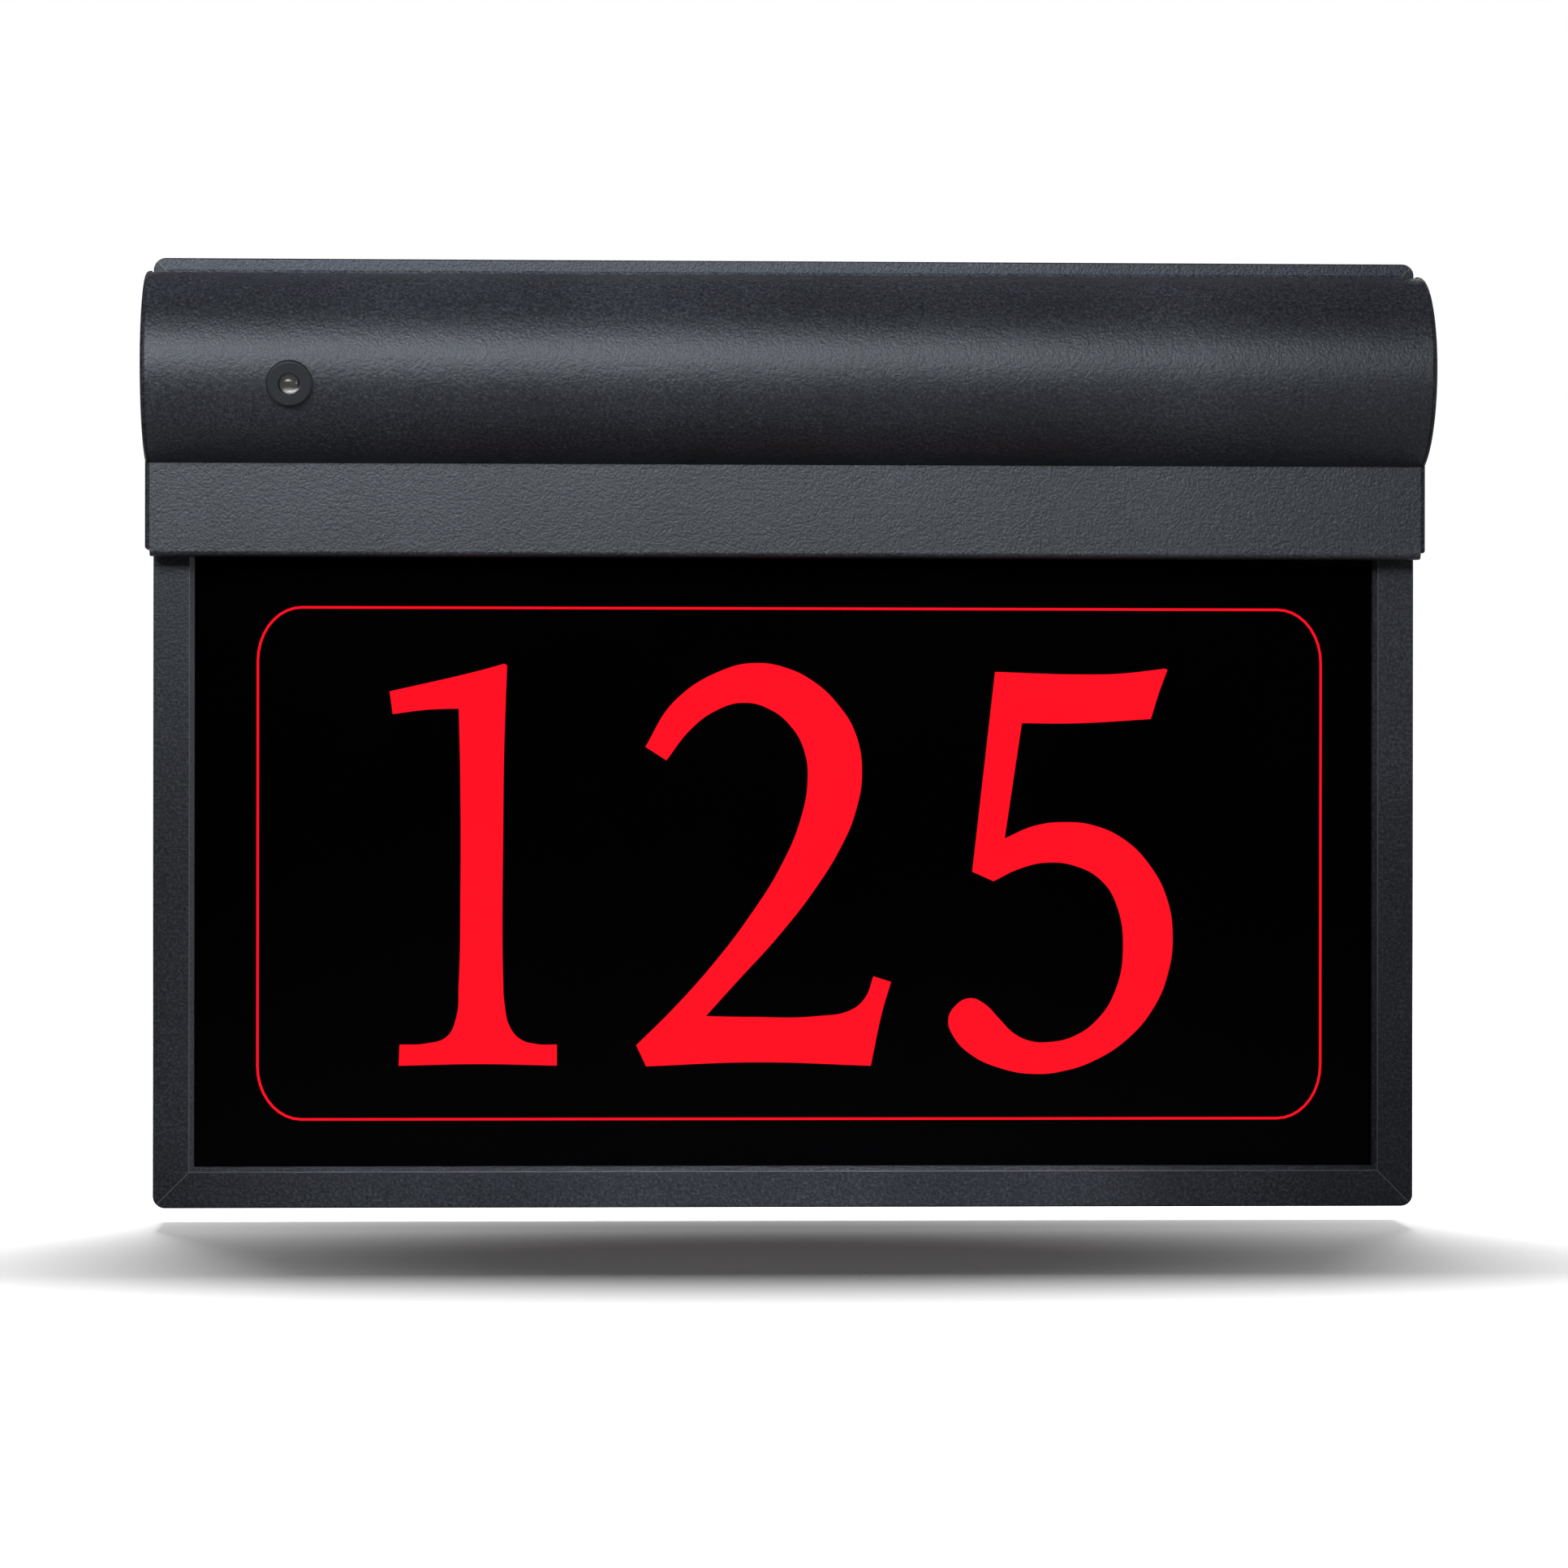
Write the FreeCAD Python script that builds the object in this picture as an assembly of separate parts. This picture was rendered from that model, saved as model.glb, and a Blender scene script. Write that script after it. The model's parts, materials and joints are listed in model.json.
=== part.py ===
import FreeCAD, Part
import math
import os

# Illuminated house number sign for an outside wall. Lengths are in millimetres and angles in degrees.
# +X runs to the reader's right, +Y towards the wall and +Z up. The origin is the middle of the flat
# back, which rests on the wall, so the window looks along -Y.

Vector = FreeCAD.Vector
X_AXIS = Vector(1, 0, 0)
Y_AXIS = Vector(0, 1, 0)
Z_AXIS = Vector(0, 0, 1)

# --- Driving dimensions ---------------------------------------------------------------------------

# Box frame
SIGN_WIDTH = 316.0
SIGN_HEIGHT = 237.0
SIGN_DEPTH = 26.0
CORNER_RADIUS = 3.2

# Frame rail section, counted from its outer face inwards and from its front face back
RAIL_WALL = 1.8
RAIL_FACE = 9.0
RAIL_CHAMFER = 1.2
RAIL_EDGE_RADIUS = 0.5
LIP_SEAT = 5.0
LIP_DEPTH = 3.0
RIB_REACH = 8.0
RIB_THICKNESS = 1.3
DRAIN_LENGTH = 12.0
DRAIN_WIDTH = 3.0
DRAIN_SETBACK = 58.0

# Corner keys pressed into the rear chamber of the rails
KEY_LEG = 28.0
KEY_WIDTH = 5.0
KEY_CLEARANCE = 0.1

# Layers in the groove of the rails, from the window back
GASKET_THICKNESS = 1.0
GASKET_SETBACK = 0.6
MASK_THICKNESS = 0.25
PANEL_THICKNESS = 3.0
DIFFUSER_THICKNESS = 1.0
GUIDE_THICKNESS = 4.0
REFLECTOR_THICKNESS = 0.5
BACKING_THICKNESS = 1.0
STACK_PLAY = 0.25
SHEET_EDGE_CLEARANCE = 0.7

# LED channel over the top edge of the light guide, below the bay for the wiring
BAY_HEIGHT = 58.3
CHANNEL_OVERLAP = 6.0
CHANNEL_WEB = 1.8
CHANNEL_FLANGE = 1.0
CHANNEL_END_CLEARANCE = 0.7
BACKING_TOP_GAP = 0.3
LED_GAP = 0.3
LED_PITCH = 12.0
LED_LENGTH = 3.5
LED_WIDTH = 2.8
LED_HEIGHT = 0.9
BOARD_THICKNESS = 1.2
BOARD_WIDTH = 4.8
BOARD_END_SETBACK = 8.5

# Brackets between the LED channel and the side rails
BRACKET_LEG = 13.0
BRACKET_WIDTH = 8.0
BRACKET_THICKNESS = 1.2
BRACKET_SCREW_REACH = 7.8

# Back panel, its screws and what passes through it
BACK_THICKNESS = 1.5
BACK_CLEARANCE = 0.3
BACK_SCREW_SETBACK = 5.0
BACK_SCREW_FROM_SIDE = 78.0
BACK_SCREW_FROM_TOP = 58.5
WALL_HOLE_RADIUS = 2.6
WALL_HOLE_SETBACK = 38.0
WALL_HOLE_DROP = 20.5

# Small countersunk and pan-head screws
SCREW_RADIUS = 1.25
SCREW_HEAD_RADIUS = 2.3
SCREW_HEAD_HEIGHT = 1.1
HEAD_CHAMFER_SHARE = 0.45
BACK_SCREW_LENGTH = 6.0
BRACKET_SCREW_LENGTH = 3.0
CAP_SCREW_LENGTH = 9.0

# Hood section: a round bulge, a flat band under it and a lip along the bottom
HOOD_CROWN_DROP = 3.4
HOOD_RADIUS = 24.8
HOOD_WALL = 1.6
BAND_STANDOFF = 8.2
BAND_HEIGHT = 23.0
BAND_EDGE_RADIUS = 1.2
HOOD_LIP_REACH = 5.2
SIDE_GAP = 0.3

# Hinge: a round bead along the top of the hood in an open socket along the top rail
HINGE_STANDOFF = 3.2
HINGE_DROP = 5.9
BEAD_RADIUS = 1.75
HINGE_CLEARANCE = 0.05
SOCKET_WALL = 1.1
SOCKET_FOOT_HEIGHT = 4.0
NECK_THICKNESS = 1.2
NECK_CLEARANCE_ANGLE = 8.0
SHOULDER_CLEARANCE = 0.4
HOOD_SWING = 85.0
SWING_SPARE_ANGLE = 3.0

# End caps of the hood
CAP_THICKNESS = 1.2
CAP_SKIRT = 10.0
CAP_RISE = 1.5
CAP_CORNER_RADIUS = 2.5
CAP_EDGE_RADIUS = 0.9

# Screw channels inside the hood
SCREW_CHANNEL_RADIUS = 2.6
SCREW_CHANNEL_ANGLE = 20.0
SCREW_CHANNEL_SINK = 0.5
SCREW_CHANNEL_RISE = 5.6

# Catch rib on the band and the two spring clips
CATCH_RISE = 18.8
CATCH_REACH = 3.0
CATCH_THICKNESS = 0.8
CATCH_BEAD_RADIUS = 0.8
CLIP_GAP = 0.3
CLIP_LEAF = 0.5
CLIP_WIDTH = 14.0
CLIP_FOOT = 9.0
CLIP_SETBACK = 63.0
CLIP_SCREW_REACH = 5.4
CLIP_HOOK_RISE = 0.9
CLIP_HOOK_RUN = 0.8
CLIP_HOOK_HEEL = 1.2

# Hood seal glued behind the lip
SEAL_HEIGHT = 2.4
SEAL_GAP = 0.3

# Dusk sensor in the bulge
SENSOR_SETBACK = 35.0
SENSOR_ANGLE = -11.5
GROMMET_RADIUS = 5.7
GROMMET_RISE = 1.1
GROMMET_EDGE_RADIUS = 0.66
GROMMET_NECK_RADIUS = 3.8
GROMMET_REAR_RADIUS = 5.2
GROMMET_REAR_THICKNESS = 1.4
LENS_RADIUS = 2.75
LENS_RIM_RADIUS = 3.3
LENS_RIM_THICKNESS = 1.0
LENS_RISE = 0.75
CELL_RADIUS = 1.3
CELL_LENGTH = 2.0
CELL_LEG_RADIUS = 0.3
CELL_LEG_SPACING = 1.3
SENSOR_BOARD_DEPTH = 9.0
SENSOR_BOARD_LENGTH = 20.0
SENSOR_BOARD_HEIGHT = 13.0
HOLDER_RADIUS = 6.5
HOLDER_WALL = 1.1
HOLDER_EAR_SPACING = 15.0
HOLDER_EAR_RADIUS = 2.0
HOLDER_SCREW_RADIUS = 0.9
HOLDER_SCREW_HEAD_RADIUS = 1.6
HOLDER_SCREW_HEAD = 1.0
HOLDER_SCREW_LENGTH = 5.0

# LED driver on the back panel
DRIVER_OFFSET = -8.0
DRIVER_DROP = 33.5
DRIVER_LENGTH = 96.0
DRIVER_HEIGHT = 34.0
DRIVER_CASE_DEPTH = 16.0
DRIVER_COVER_DEPTH = 3.5
DRIVER_CORNER_RADIUS = 2.5
DRIVER_COVER_STEP = 0.8
DRIVER_EAR_LENGTH = 8.0
DRIVER_EAR_WIDTH = 14.0
DRIVER_EAR_THICKNESS = 3.0

# Terminal block on the back panel
TERMINAL_GAP = 26.0
TERMINAL_LENGTH = 20.0
TERMINAL_HEIGHT = 24.0
TERMINAL_DEPTH = 13.0
POLE_SPACING = 11.0
POLE_DEPTH_FROM_FRONT = 6.5
WIRE_ENTRY_RADIUS = 1.6
WIRE_ENTRY_LENGTH = 5.0
WELL_RADIUS = 2.4
WELL_DEPTH = 4.0
WELL_SPACING = 11.0
TERMINAL_SCREW_RADIUS = 2.1
TERMINAL_SCREW_HEIGHT = 2.6
TERMINAL_SLOT_WIDTH = 0.7
TERMINAL_SLOT_DEPTH = 1.0
TERMINAL_MOUNT_HEAD_DEPTH = 6.0

# Grommet for the supply cord
CABLE_SETBACK = 30.0
CABLE_DROP = 38.5
CABLE_BORE_RADIUS = 3.2
CABLE_BARREL_RADIUS = 5.0
CABLE_FLANGE_RADIUS = 7.5
CABLE_FLANGE_THICKNESS = 2.2
CABLE_SNOUT_LENGTH = 6.5
CABLE_SNOUT_TIP_RADIUS = 4.3
CABLE_SNOUT_ROOT_RADIUS = 5.4

# Internal leads
SUPPLY_LEAD_DIAMETER = 2.0
TWIN_LEAD_DIAMETER = 2.4
LEAD_HOLE_CLEARANCE = 0.4
LEAD_SETBACK_FROM_COVER = 8.0
SUPPLY_LEAD_SPACING = 5.0
LEAD_BEND_SHARE = 0.45
LED_LEAD_OFFSET = 15.0
LED_LEAD_DROP = 11.0
LED_LEAD_EXIT = 7.0
LED_LEAD_SWEEP = (13.0, -2.0, -4.5)
LED_LEAD_UPRIGHT = 6.1

# Lead of the sensor: a loop measured from the sensor's board, a climb measured from the driver
SENSOR_LEAD_OFFSET = 4.0
SENSOR_LEAD_EXIT = 14.5
SENSOR_LEAD_LOOP = [(-14.0, 19.0, -6.0), (-13.0, 20.5, -21.0), (3.0, 23.0, -23.5)]
SENSOR_LEAD_CLIMB = [(-42.0, -2.0, -17.0), (-26.0, -2.5, -11.5)]
SENSOR_LEAD_ENTRY = 12.0

# Reach of a cutting tool past a face, and tolerances when edges are picked
OVERSHOOT = 1.0
NEAR = 0.01
PARALLEL_ANGLE = 5.0

# --- Places worked out from them ------------------------------------------------------------------

TOP = SIGN_HEIGHT / 2
SIDE = SIGN_WIDTH / 2
FRONT = -SIGN_DEPTH
RAIL_REACH = RAIL_FACE + RAIL_CHAMFER

GASKET_FRONT = FRONT + LIP_DEPTH
MASK_FRONT = GASKET_FRONT + GASKET_THICKNESS
PANEL_FRONT = MASK_FRONT + MASK_THICKNESS
DIFFUSER_FRONT = PANEL_FRONT + PANEL_THICKNESS
GUIDE_FRONT = DIFFUSER_FRONT + DIFFUSER_THICKNESS
REFLECTOR_FRONT = GUIDE_FRONT + GUIDE_THICKNESS
BACKING_FRONT = REFLECTOR_FRONT + REFLECTOR_THICKNESS
STACK_BACK = BACKING_FRONT + BACKING_THICKNESS
GROOVE_BACK = STACK_BACK + STACK_PLAY
BACK_INNER = -BACK_THICKNESS

SHEET_SIDE = SIDE - RAIL_WALL - SHEET_EDGE_CLEARANCE
SHEET_BOTTOM = -TOP + RAIL_WALL + SHEET_EDGE_CLEARANCE
WEB_TOP = TOP - BAY_HEIGHT
WEB_BOTTOM = WEB_TOP - CHANNEL_WEB
BOARD_BOTTOM = WEB_BOTTOM - BOARD_THICKNESS
LED_BOTTOM = BOARD_BOTTOM - LED_HEIGHT
SHEET_TOP = LED_BOTTOM - LED_GAP
CHANNEL_BOTTOM = SHEET_TOP - CHANNEL_OVERLAP
CHANNEL_END = SIDE - RAIL_WALL - CHANNEL_END_CLEARANCE
BOARD_END = CHANNEL_END - BOARD_END_SETBACK
LED_COUNT = int(2 * BOARD_END // LED_PITCH)
GUIDE_MIDDLE = GUIDE_FRONT + GUIDE_THICKNESS / 2
BRACKET_MIDDLE = (GASKET_FRONT + BACKING_FRONT) / 2

HOOD_INNER_RADIUS = HOOD_RADIUS - HOOD_WALL
BULGE_CENTRE = (FRONT, TOP - HOOD_CROWN_DROP - HOOD_RADIUS)
BAND_FRONT = FRONT - BAND_STANDOFF
BAND_BACK = BAND_FRONT + HOOD_WALL
BAND_TOP = BULGE_CENTRE[1] - math.sqrt(HOOD_RADIUS ** 2 - BAND_STANDOFF ** 2)
BAND_BOTTOM = BAND_TOP - BAND_HEIGHT
HOOD_SIDE = SIDE + SIDE_GAP
CAP_SIDE = HOOD_SIDE + CAP_THICKNESS

HINGE = (FRONT - HINGE_STANDOFF, TOP - HINGE_DROP)
SOCKET_INNER_RADIUS = BEAD_RADIUS + HINGE_CLEARANCE
SOCKET_RADIUS = SOCKET_INNER_RADIUS + SOCKET_WALL
SHOULDER_RADIUS = SOCKET_RADIUS + SHOULDER_CLEARANCE

SENSOR_X = -SIDE + SENSOR_SETBACK
SENSOR_BOARD_FRONT = HOOD_RADIUS - SENSOR_BOARD_DEPTH
SENSOR_BOARD_BACK = SENSOR_BOARD_FRONT - BOARD_THICKNESS
LENS_BACK = HOOD_INNER_RADIUS - GROMMET_REAR_THICKNESS - LENS_RIM_THICKNESS

DRIVER_LEFT = DRIVER_OFFSET - DRIVER_LENGTH / 2
DRIVER_RIGHT = DRIVER_OFFSET + DRIVER_LENGTH / 2
DRIVER_Z = TOP - DRIVER_DROP
LEAD_DEPTH = BACK_INNER - DRIVER_CASE_DEPTH - DRIVER_COVER_DEPTH + LEAD_SETBACK_FROM_COVER
LED_LEAD_X = DRIVER_RIGHT + LED_LEAD_OFFSET
TERMINAL_X = DRIVER_RIGHT + TERMINAL_GAP + TERMINAL_LENGTH / 2
TERMINAL_FRONT = BACK_INNER - TERMINAL_DEPTH
CABLE_X = SIDE - CABLE_SETBACK
CABLE_Z = TOP - CABLE_DROP


# --- Helpers --------------------------------------------------------------------------------------

def span(x0, x1, y0, y1, z0, z1):
    """Block between two corners."""
    return Part.makeBox(x1 - x0, y1 - y0, z1 - z0, Vector(x0, y0, z0))


def rod(radius, start, end):
    """Round bar from one point to another."""
    line = end - start
    return Part.makeCylinder(radius, line.Length, start, line)


def polar(centre, radius, angle):
    """Point of the section (y, z) at an angle counted from straight ahead upwards."""
    turn = math.radians(angle)
    return (centre[0] - radius * math.cos(turn), centre[1] + radius * math.sin(turn))


def in_section(point, x=0.0):
    """Section point (y, z) as a point in space."""
    return Vector(x, point[0], point[1])


def polygon_face(points):
    """Flat face in the section plane through (y, z) points."""
    corners = [in_section(p) for p in points]
    return Part.Face(Part.makePolygon(corners + corners[:1]))


def rectangle_face(y0, y1, z0, z1):
    return polygon_face([(y0, z0), (y1, z0), (y1, z1), (y0, z1)])


def disc_face(centre, radius):
    return Part.Face(Part.Wire(Part.makeCircle(radius, in_section(centre), X_AXIS)))


def arc_edge(centre, radius, start, end):
    """Arc of the section between two angles."""
    angles = (start, (start + end) / 2, end)
    first, middle, last = [in_section(polar(centre, radius, a)) for a in angles]
    return Part.Arc(first, middle, last).toShape()


def line_edge(first, last):
    return Part.LineSegment(in_section(first), in_section(last)).toShape()


def ring_face(centre, inner, outer, start, end):
    """Part of a ring between two radii and two angles."""
    edges = [
        arc_edge(centre, outer, start, end),
        line_edge(polar(centre, outer, end), polar(centre, inner, end)),
        arc_edge(centre, inner, end, start),
        line_edge(polar(centre, inner, start), polar(centre, outer, start)),
    ]
    return Part.Face(Part.Wire(edges))


def bar(faces, half_length):
    """Section faces joined and drawn out along X, evenly about the middle."""
    start = Vector(-half_length, 0, 0)
    length = Vector(2 * half_length, 0, 0)
    solids = [face.translated(start).extrude(length) for face in faces]
    if len(solids) == 1:
        return solids[0]
    return solids[0].multiFuse(solids[1:]).removeSplitter()


def cut_all(shape, tools):
    return shape.cut(Part.makeCompound(tools)) if tools else shape


def rounded_block(x0, x1, y0, y1, z0, z1, radius):
    """Block whose four edges along Y are rounded."""
    block = span(x0, x1, y0, y1, z0, z1)
    least = math.cos(math.radians(PARALLEL_ANGLE))
    edges = [e for e in block.Edges if abs(e.tangentAt(e.FirstParameter).y) > least]
    return block.makeFillet(radius, edges)


def countersunk_screw(tip_length, base, direction):
    """Flush-head screw: base is the middle of the flat of its head, direction points to its tip."""
    cone = Part.makeCone(SCREW_HEAD_RADIUS, SCREW_RADIUS, SCREW_HEAD_HEIGHT, base, direction)
    shank = Part.makeCylinder(SCREW_RADIUS, tip_length, base, direction)
    return cone.fuse(shank).removeSplitter()


def pan_screw(tip_length, base, direction, radius=SCREW_RADIUS, head=SCREW_HEAD_RADIUS,
              head_height=SCREW_HEAD_HEIGHT):
    """Raised-head screw with a chamfered head: base is the seat of the head, direction points to the tip."""
    chamfer = head_height * HEAD_CHAMFER_SHARE
    straight = head_height - chamfer
    skirt = Part.makeCylinder(head, straight, base, direction * -1)
    crown = Part.makeCone(head, head - chamfer, chamfer, base - direction * straight, direction * -1)
    shank = Part.makeCylinder(radius, tip_length, base, direction)
    return skirt.multiFuse([crown, shank]).removeSplitter()


def through_back(radius, x, z):
    """Round tool through the back panel."""
    return rod(radius, Vector(x, BACK_INNER - OVERSHOOT, z), Vector(x, OVERSHOOT, z))


def spread(count, pitch):
    """Even places along a line, about its middle."""
    return [(i - (count - 1) / 2) * pitch for i in range(count)]


def lead(name, points, diameter):
    """Flexible lead: straight runs joined by tangent arcs, as large as the two runs allow."""
    bends = []
    for before, here, after in zip(points, points[1:], points[2:]):
        arriving = here - before
        leaving = after - here
        turn = arriving.getAngle(leaving)
        run = LEAD_BEND_SHARE * min(arriving.Length, leaving.Length)
        bends.append((here, arriving.normalize(), leaving.normalize(), run, turn))
        print(f"{name}: bend radius {run / math.tan(turn / 2):.1f}")
    edges = []
    here = points[0]
    for corner, arriving, leaving, run, turn in bends:
        start = corner - arriving * run
        end = corner + leaving * run
        inward = (leaving - arriving).normalize()
        radius = run / math.tan(turn / 2)
        centre = corner + inward * (radius / math.cos(turn / 2))
        edges.append(Part.LineSegment(here, start).toShape())
        edges.append(Part.Arc(start, centre - inward * radius, end).toShape())
        here = end
    edges.append(Part.LineSegment(here, points[-1]).toShape())
    path = Part.Wire(edges)
    circle = Part.makeCircle(diameter / 2, points[0], points[1] - points[0])
    tube = path.makePipeShell([Part.Wire(circle)], True, True)
    share = tube.Volume / (path.Length * math.pi * diameter ** 2 / 4)
    print(f"{name}: length {path.Length:.1f}, volume {share:.4f} of section times length")
    return tube


# --- Frame ----------------------------------------------------------------------------------------

def rail_section():
    """Rail section with y = depth from the wall and z = height over the rail's outer face."""
    step = FRONT + RAIL_WALL
    front_rib = (GROOVE_BACK, GROOVE_BACK + RIB_THICKNESS)
    rear_rib = (BACK_INNER - RIB_THICKNESS, BACK_INNER)
    outline = [
        (FRONT, RAIL_EDGE_RADIUS), (FRONT, RAIL_FACE),
        (FRONT + RAIL_CHAMFER, RAIL_REACH), (GASKET_FRONT, RAIL_REACH),
        (GASKET_FRONT, LIP_SEAT), (step, LIP_SEAT), (step, RAIL_WALL),
        (front_rib[0], RAIL_WALL), (front_rib[0], RIB_REACH),
        (front_rib[1], RIB_REACH), (front_rib[1], RAIL_WALL),
        (rear_rib[0], RAIL_WALL), (rear_rib[0], RIB_REACH),
        (rear_rib[1], RIB_REACH), (rear_rib[1], RAIL_WALL),
        (0, RAIL_WALL), (0, 0), (FRONT + RAIL_EDGE_RADIUS, 0),
    ]
    edges = [line_edge(first, last) for first, last in zip(outline, outline[1:])]
    edges.append(arc_edge((FRONT + RAIL_EDGE_RADIUS, RAIL_EDGE_RADIUS), RAIL_EDGE_RADIUS, -90, 0))
    return Part.Face(Part.Wire(edges))


def socket_face():
    """Open hinge socket: it stops short of the hood's neck at rest and fully open."""
    neck_half_angle = math.degrees(math.asin(NECK_THICKNESS / 2 / SOCKET_INNER_RADIUS))
    upper_end = HOOD_SWING + neck_half_angle + SWING_SPARE_ANGLE
    lower_end = -neck_half_angle - NECK_CLEARANCE_ANGLE
    return ring_face(HINGE, SOCKET_INNER_RADIUS, SOCKET_RADIUS, upper_end, 360 + lower_end)


def socket_foot_face():
    """Web that ties the back of the socket to the front of the top rail."""
    half = SOCKET_FOOT_HEIGHT / 2
    start = HINGE[0] + SOCKET_INNER_RADIUS + SOCKET_WALL / 2
    return rectangle_face(start, FRONT + RAIL_WALL / 2, HINGE[1] - half, HINGE[1] + half)


def mitre_prism(length):
    """Room that a rail of this length fills between its two 45 degree cuts."""
    half = length / 2
    reach = RAIL_REACH + RAIL_WALL
    depth = SIGN_DEPTH + HINGE_STANDOFF + SOCKET_RADIUS
    corners = [(-half, 0), (half, 0), (half - reach, reach), (-half + reach, reach)]
    outline = [Vector(x, -depth, z) for x, z in corners]
    return Part.Face(Part.makePolygon(outline + outline[:1])).extrude(Y_AXIS * depth)


def rail_on(side):
    """Mitred rail on one side of the frame, still with square outer corners."""
    length = SIGN_WIDTH if side in ("bottom", "top") else SIGN_HEIGHT
    turn, shift = {
        "bottom": (0, Vector(0, 0, -TOP)),
        "top": (180, Vector(0, 0, TOP)),
        "left": (90, Vector(-SIDE, 0, 0)),
        "right": (-90, Vector(SIDE, 0, 0)),
    }[side]
    rail = bar([rail_section()], length / 2)
    room = mitre_prism(length)
    for shape in (rail, room):
        shape.rotate(Vector(), Y_AXIS, turn)
        shape.translate(shift)
    if side == "top":
        rail = rail.multiFuse([bar([socket_face(), socket_foot_face()], length / 2)])
        rail = rail.cut(bar([disc_face(HINGE, SOCKET_INNER_RADIUS)], length / 2)).removeSplitter()
    envelope = rounded_block(-SIDE, SIDE, FRONT - SIGN_DEPTH, 0, -TOP, TOP, CORNER_RADIUS)
    return rail.common(room).common(envelope)


def back_screw_places():
    """Middle of each back panel screw, as (x, z) pairs round the rails."""
    along_rows = (SIDE - BACK_SCREW_FROM_SIDE, TOP - BACK_SCREW_SETBACK)
    along_sides = (SIDE - BACK_SCREW_SETBACK, TOP - BACK_SCREW_FROM_TOP)
    return [(sx * x, sz * z) for x, z in (along_rows, along_sides) for sx in (-1, 1) for sz in (-1, 1)]


def back_screws():
    return [countersunk_screw(BACK_SCREW_LENGTH, Vector(x, 0, z), Y_AXIS * -1)
            for x, z in back_screw_places()]


def frame_rails():
    """The four rails, with screw holes at the back and two drain slots at the bottom."""
    rails = {side: rail_on(side) for side in ("left", "right", "bottom", "top")}
    holes = [rod(SCREW_RADIUS, Vector(x, -BACK_SCREW_LENGTH, z), Vector(x, 0, z))
             for x, z in back_screw_places()]
    rails = {side: cut_all(rail, holes) for side, rail in rails.items()}
    rails["bottom"] = cut_all(rails["bottom"], drain_slots())
    for sign, side in ((-1, "left"), (1, "right")):
        rails[side] = rails[side].cut(bracket_wall_screw_hole(sign))
    return {f"frame_{side}_rail": rail for side, rail in rails.items()}


def drain_slots():
    """Tools of the two round-ended slots through the bottom rail's outer wall."""
    middle = (GROOVE_BACK + BACK_INNER) / 2
    half = DRAIN_WIDTH / 2
    place = SIDE - DRAIN_SETBACK
    reach = (DRAIN_LENGTH - DRAIN_WIDTH) / 2
    bottom = -TOP - OVERSHOOT
    top = -TOP + RAIL_WALL + OVERSHOOT
    slots = []
    for x in (-place, place):
        block = span(x - reach, x + reach, middle - half, middle + half, bottom, top)
        ends = [rod(half, Vector(x + shift, middle, bottom), Vector(x + shift, middle, top))
                for shift in (-reach, reach)]
        slots.append(block.multiFuse(ends))
    return slots


def corner_keys():
    """Angle keys in the rear chamber, two legs each, one at every mitre."""
    front = GROOVE_BACK + RIB_THICKNESS + KEY_CLEARANCE
    back = BACK_INNER - RIB_THICKNESS - KEY_CLEARANCE
    inset = RAIL_WALL + KEY_CLEARANCE
    keys = []
    for sx in (-1, 1):
        for sz in (-1, 1):
            x_outer = sx * (SIDE - inset)
            z_outer = sz * (TOP - inset)
            flat = span(*sorted((x_outer, x_outer - sx * KEY_LEG)), front, back,
                        *sorted((z_outer, z_outer - sz * KEY_WIDTH)))
            upright = span(*sorted((x_outer, x_outer - sx * KEY_WIDTH)), front, back,
                           *sorted((z_outer, z_outer - sz * KEY_LEG)))
            keys.append(flat.fuse(upright).removeSplitter())
    return keys


def back_panel():
    """Sheet back with countersunk holes, two wall holes and the cable hole."""
    side = SIDE - RAIL_WALL - BACK_CLEARANCE
    top = TOP - RAIL_WALL - BACK_CLEARANCE
    sheet = span(-side, side, BACK_INNER, 0, -top, top)
    hole_x = SIDE - WALL_HOLE_SETBACK
    holes = [through_back(WALL_HOLE_RADIUS, x, TOP - WALL_HOLE_DROP) for x in (-hole_x, hole_x)]
    holes.append(through_back(CABLE_BARREL_RADIUS, CABLE_X, CABLE_Z))
    return cut_all(sheet, holes + back_screws() + driver_screws() + [terminal_mount_screw()])


# --- Layers behind the window ---------------------------------------------------------------------

def sheet(front, thickness, top=None):
    """Flat layer in the groove of the rails."""
    return span(-SHEET_SIDE, SHEET_SIDE, front, front + thickness, SHEET_BOTTOM,
                SHEET_TOP if top is None else top)


def panel_gasket():
    """Foam strip behind the lip, along the sides and the bottom."""
    strip = sheet(GASKET_FRONT, GASKET_THICKNESS, CHANNEL_BOTTOM)
    inner_side = SIDE - RAIL_REACH + GASKET_SETBACK
    window = span(-inner_side, inner_side, FRONT, 0, -TOP + RAIL_REACH - GASKET_SETBACK, TOP)
    return strip.cut(window)


# --- Light source ---------------------------------------------------------------------------------

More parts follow.
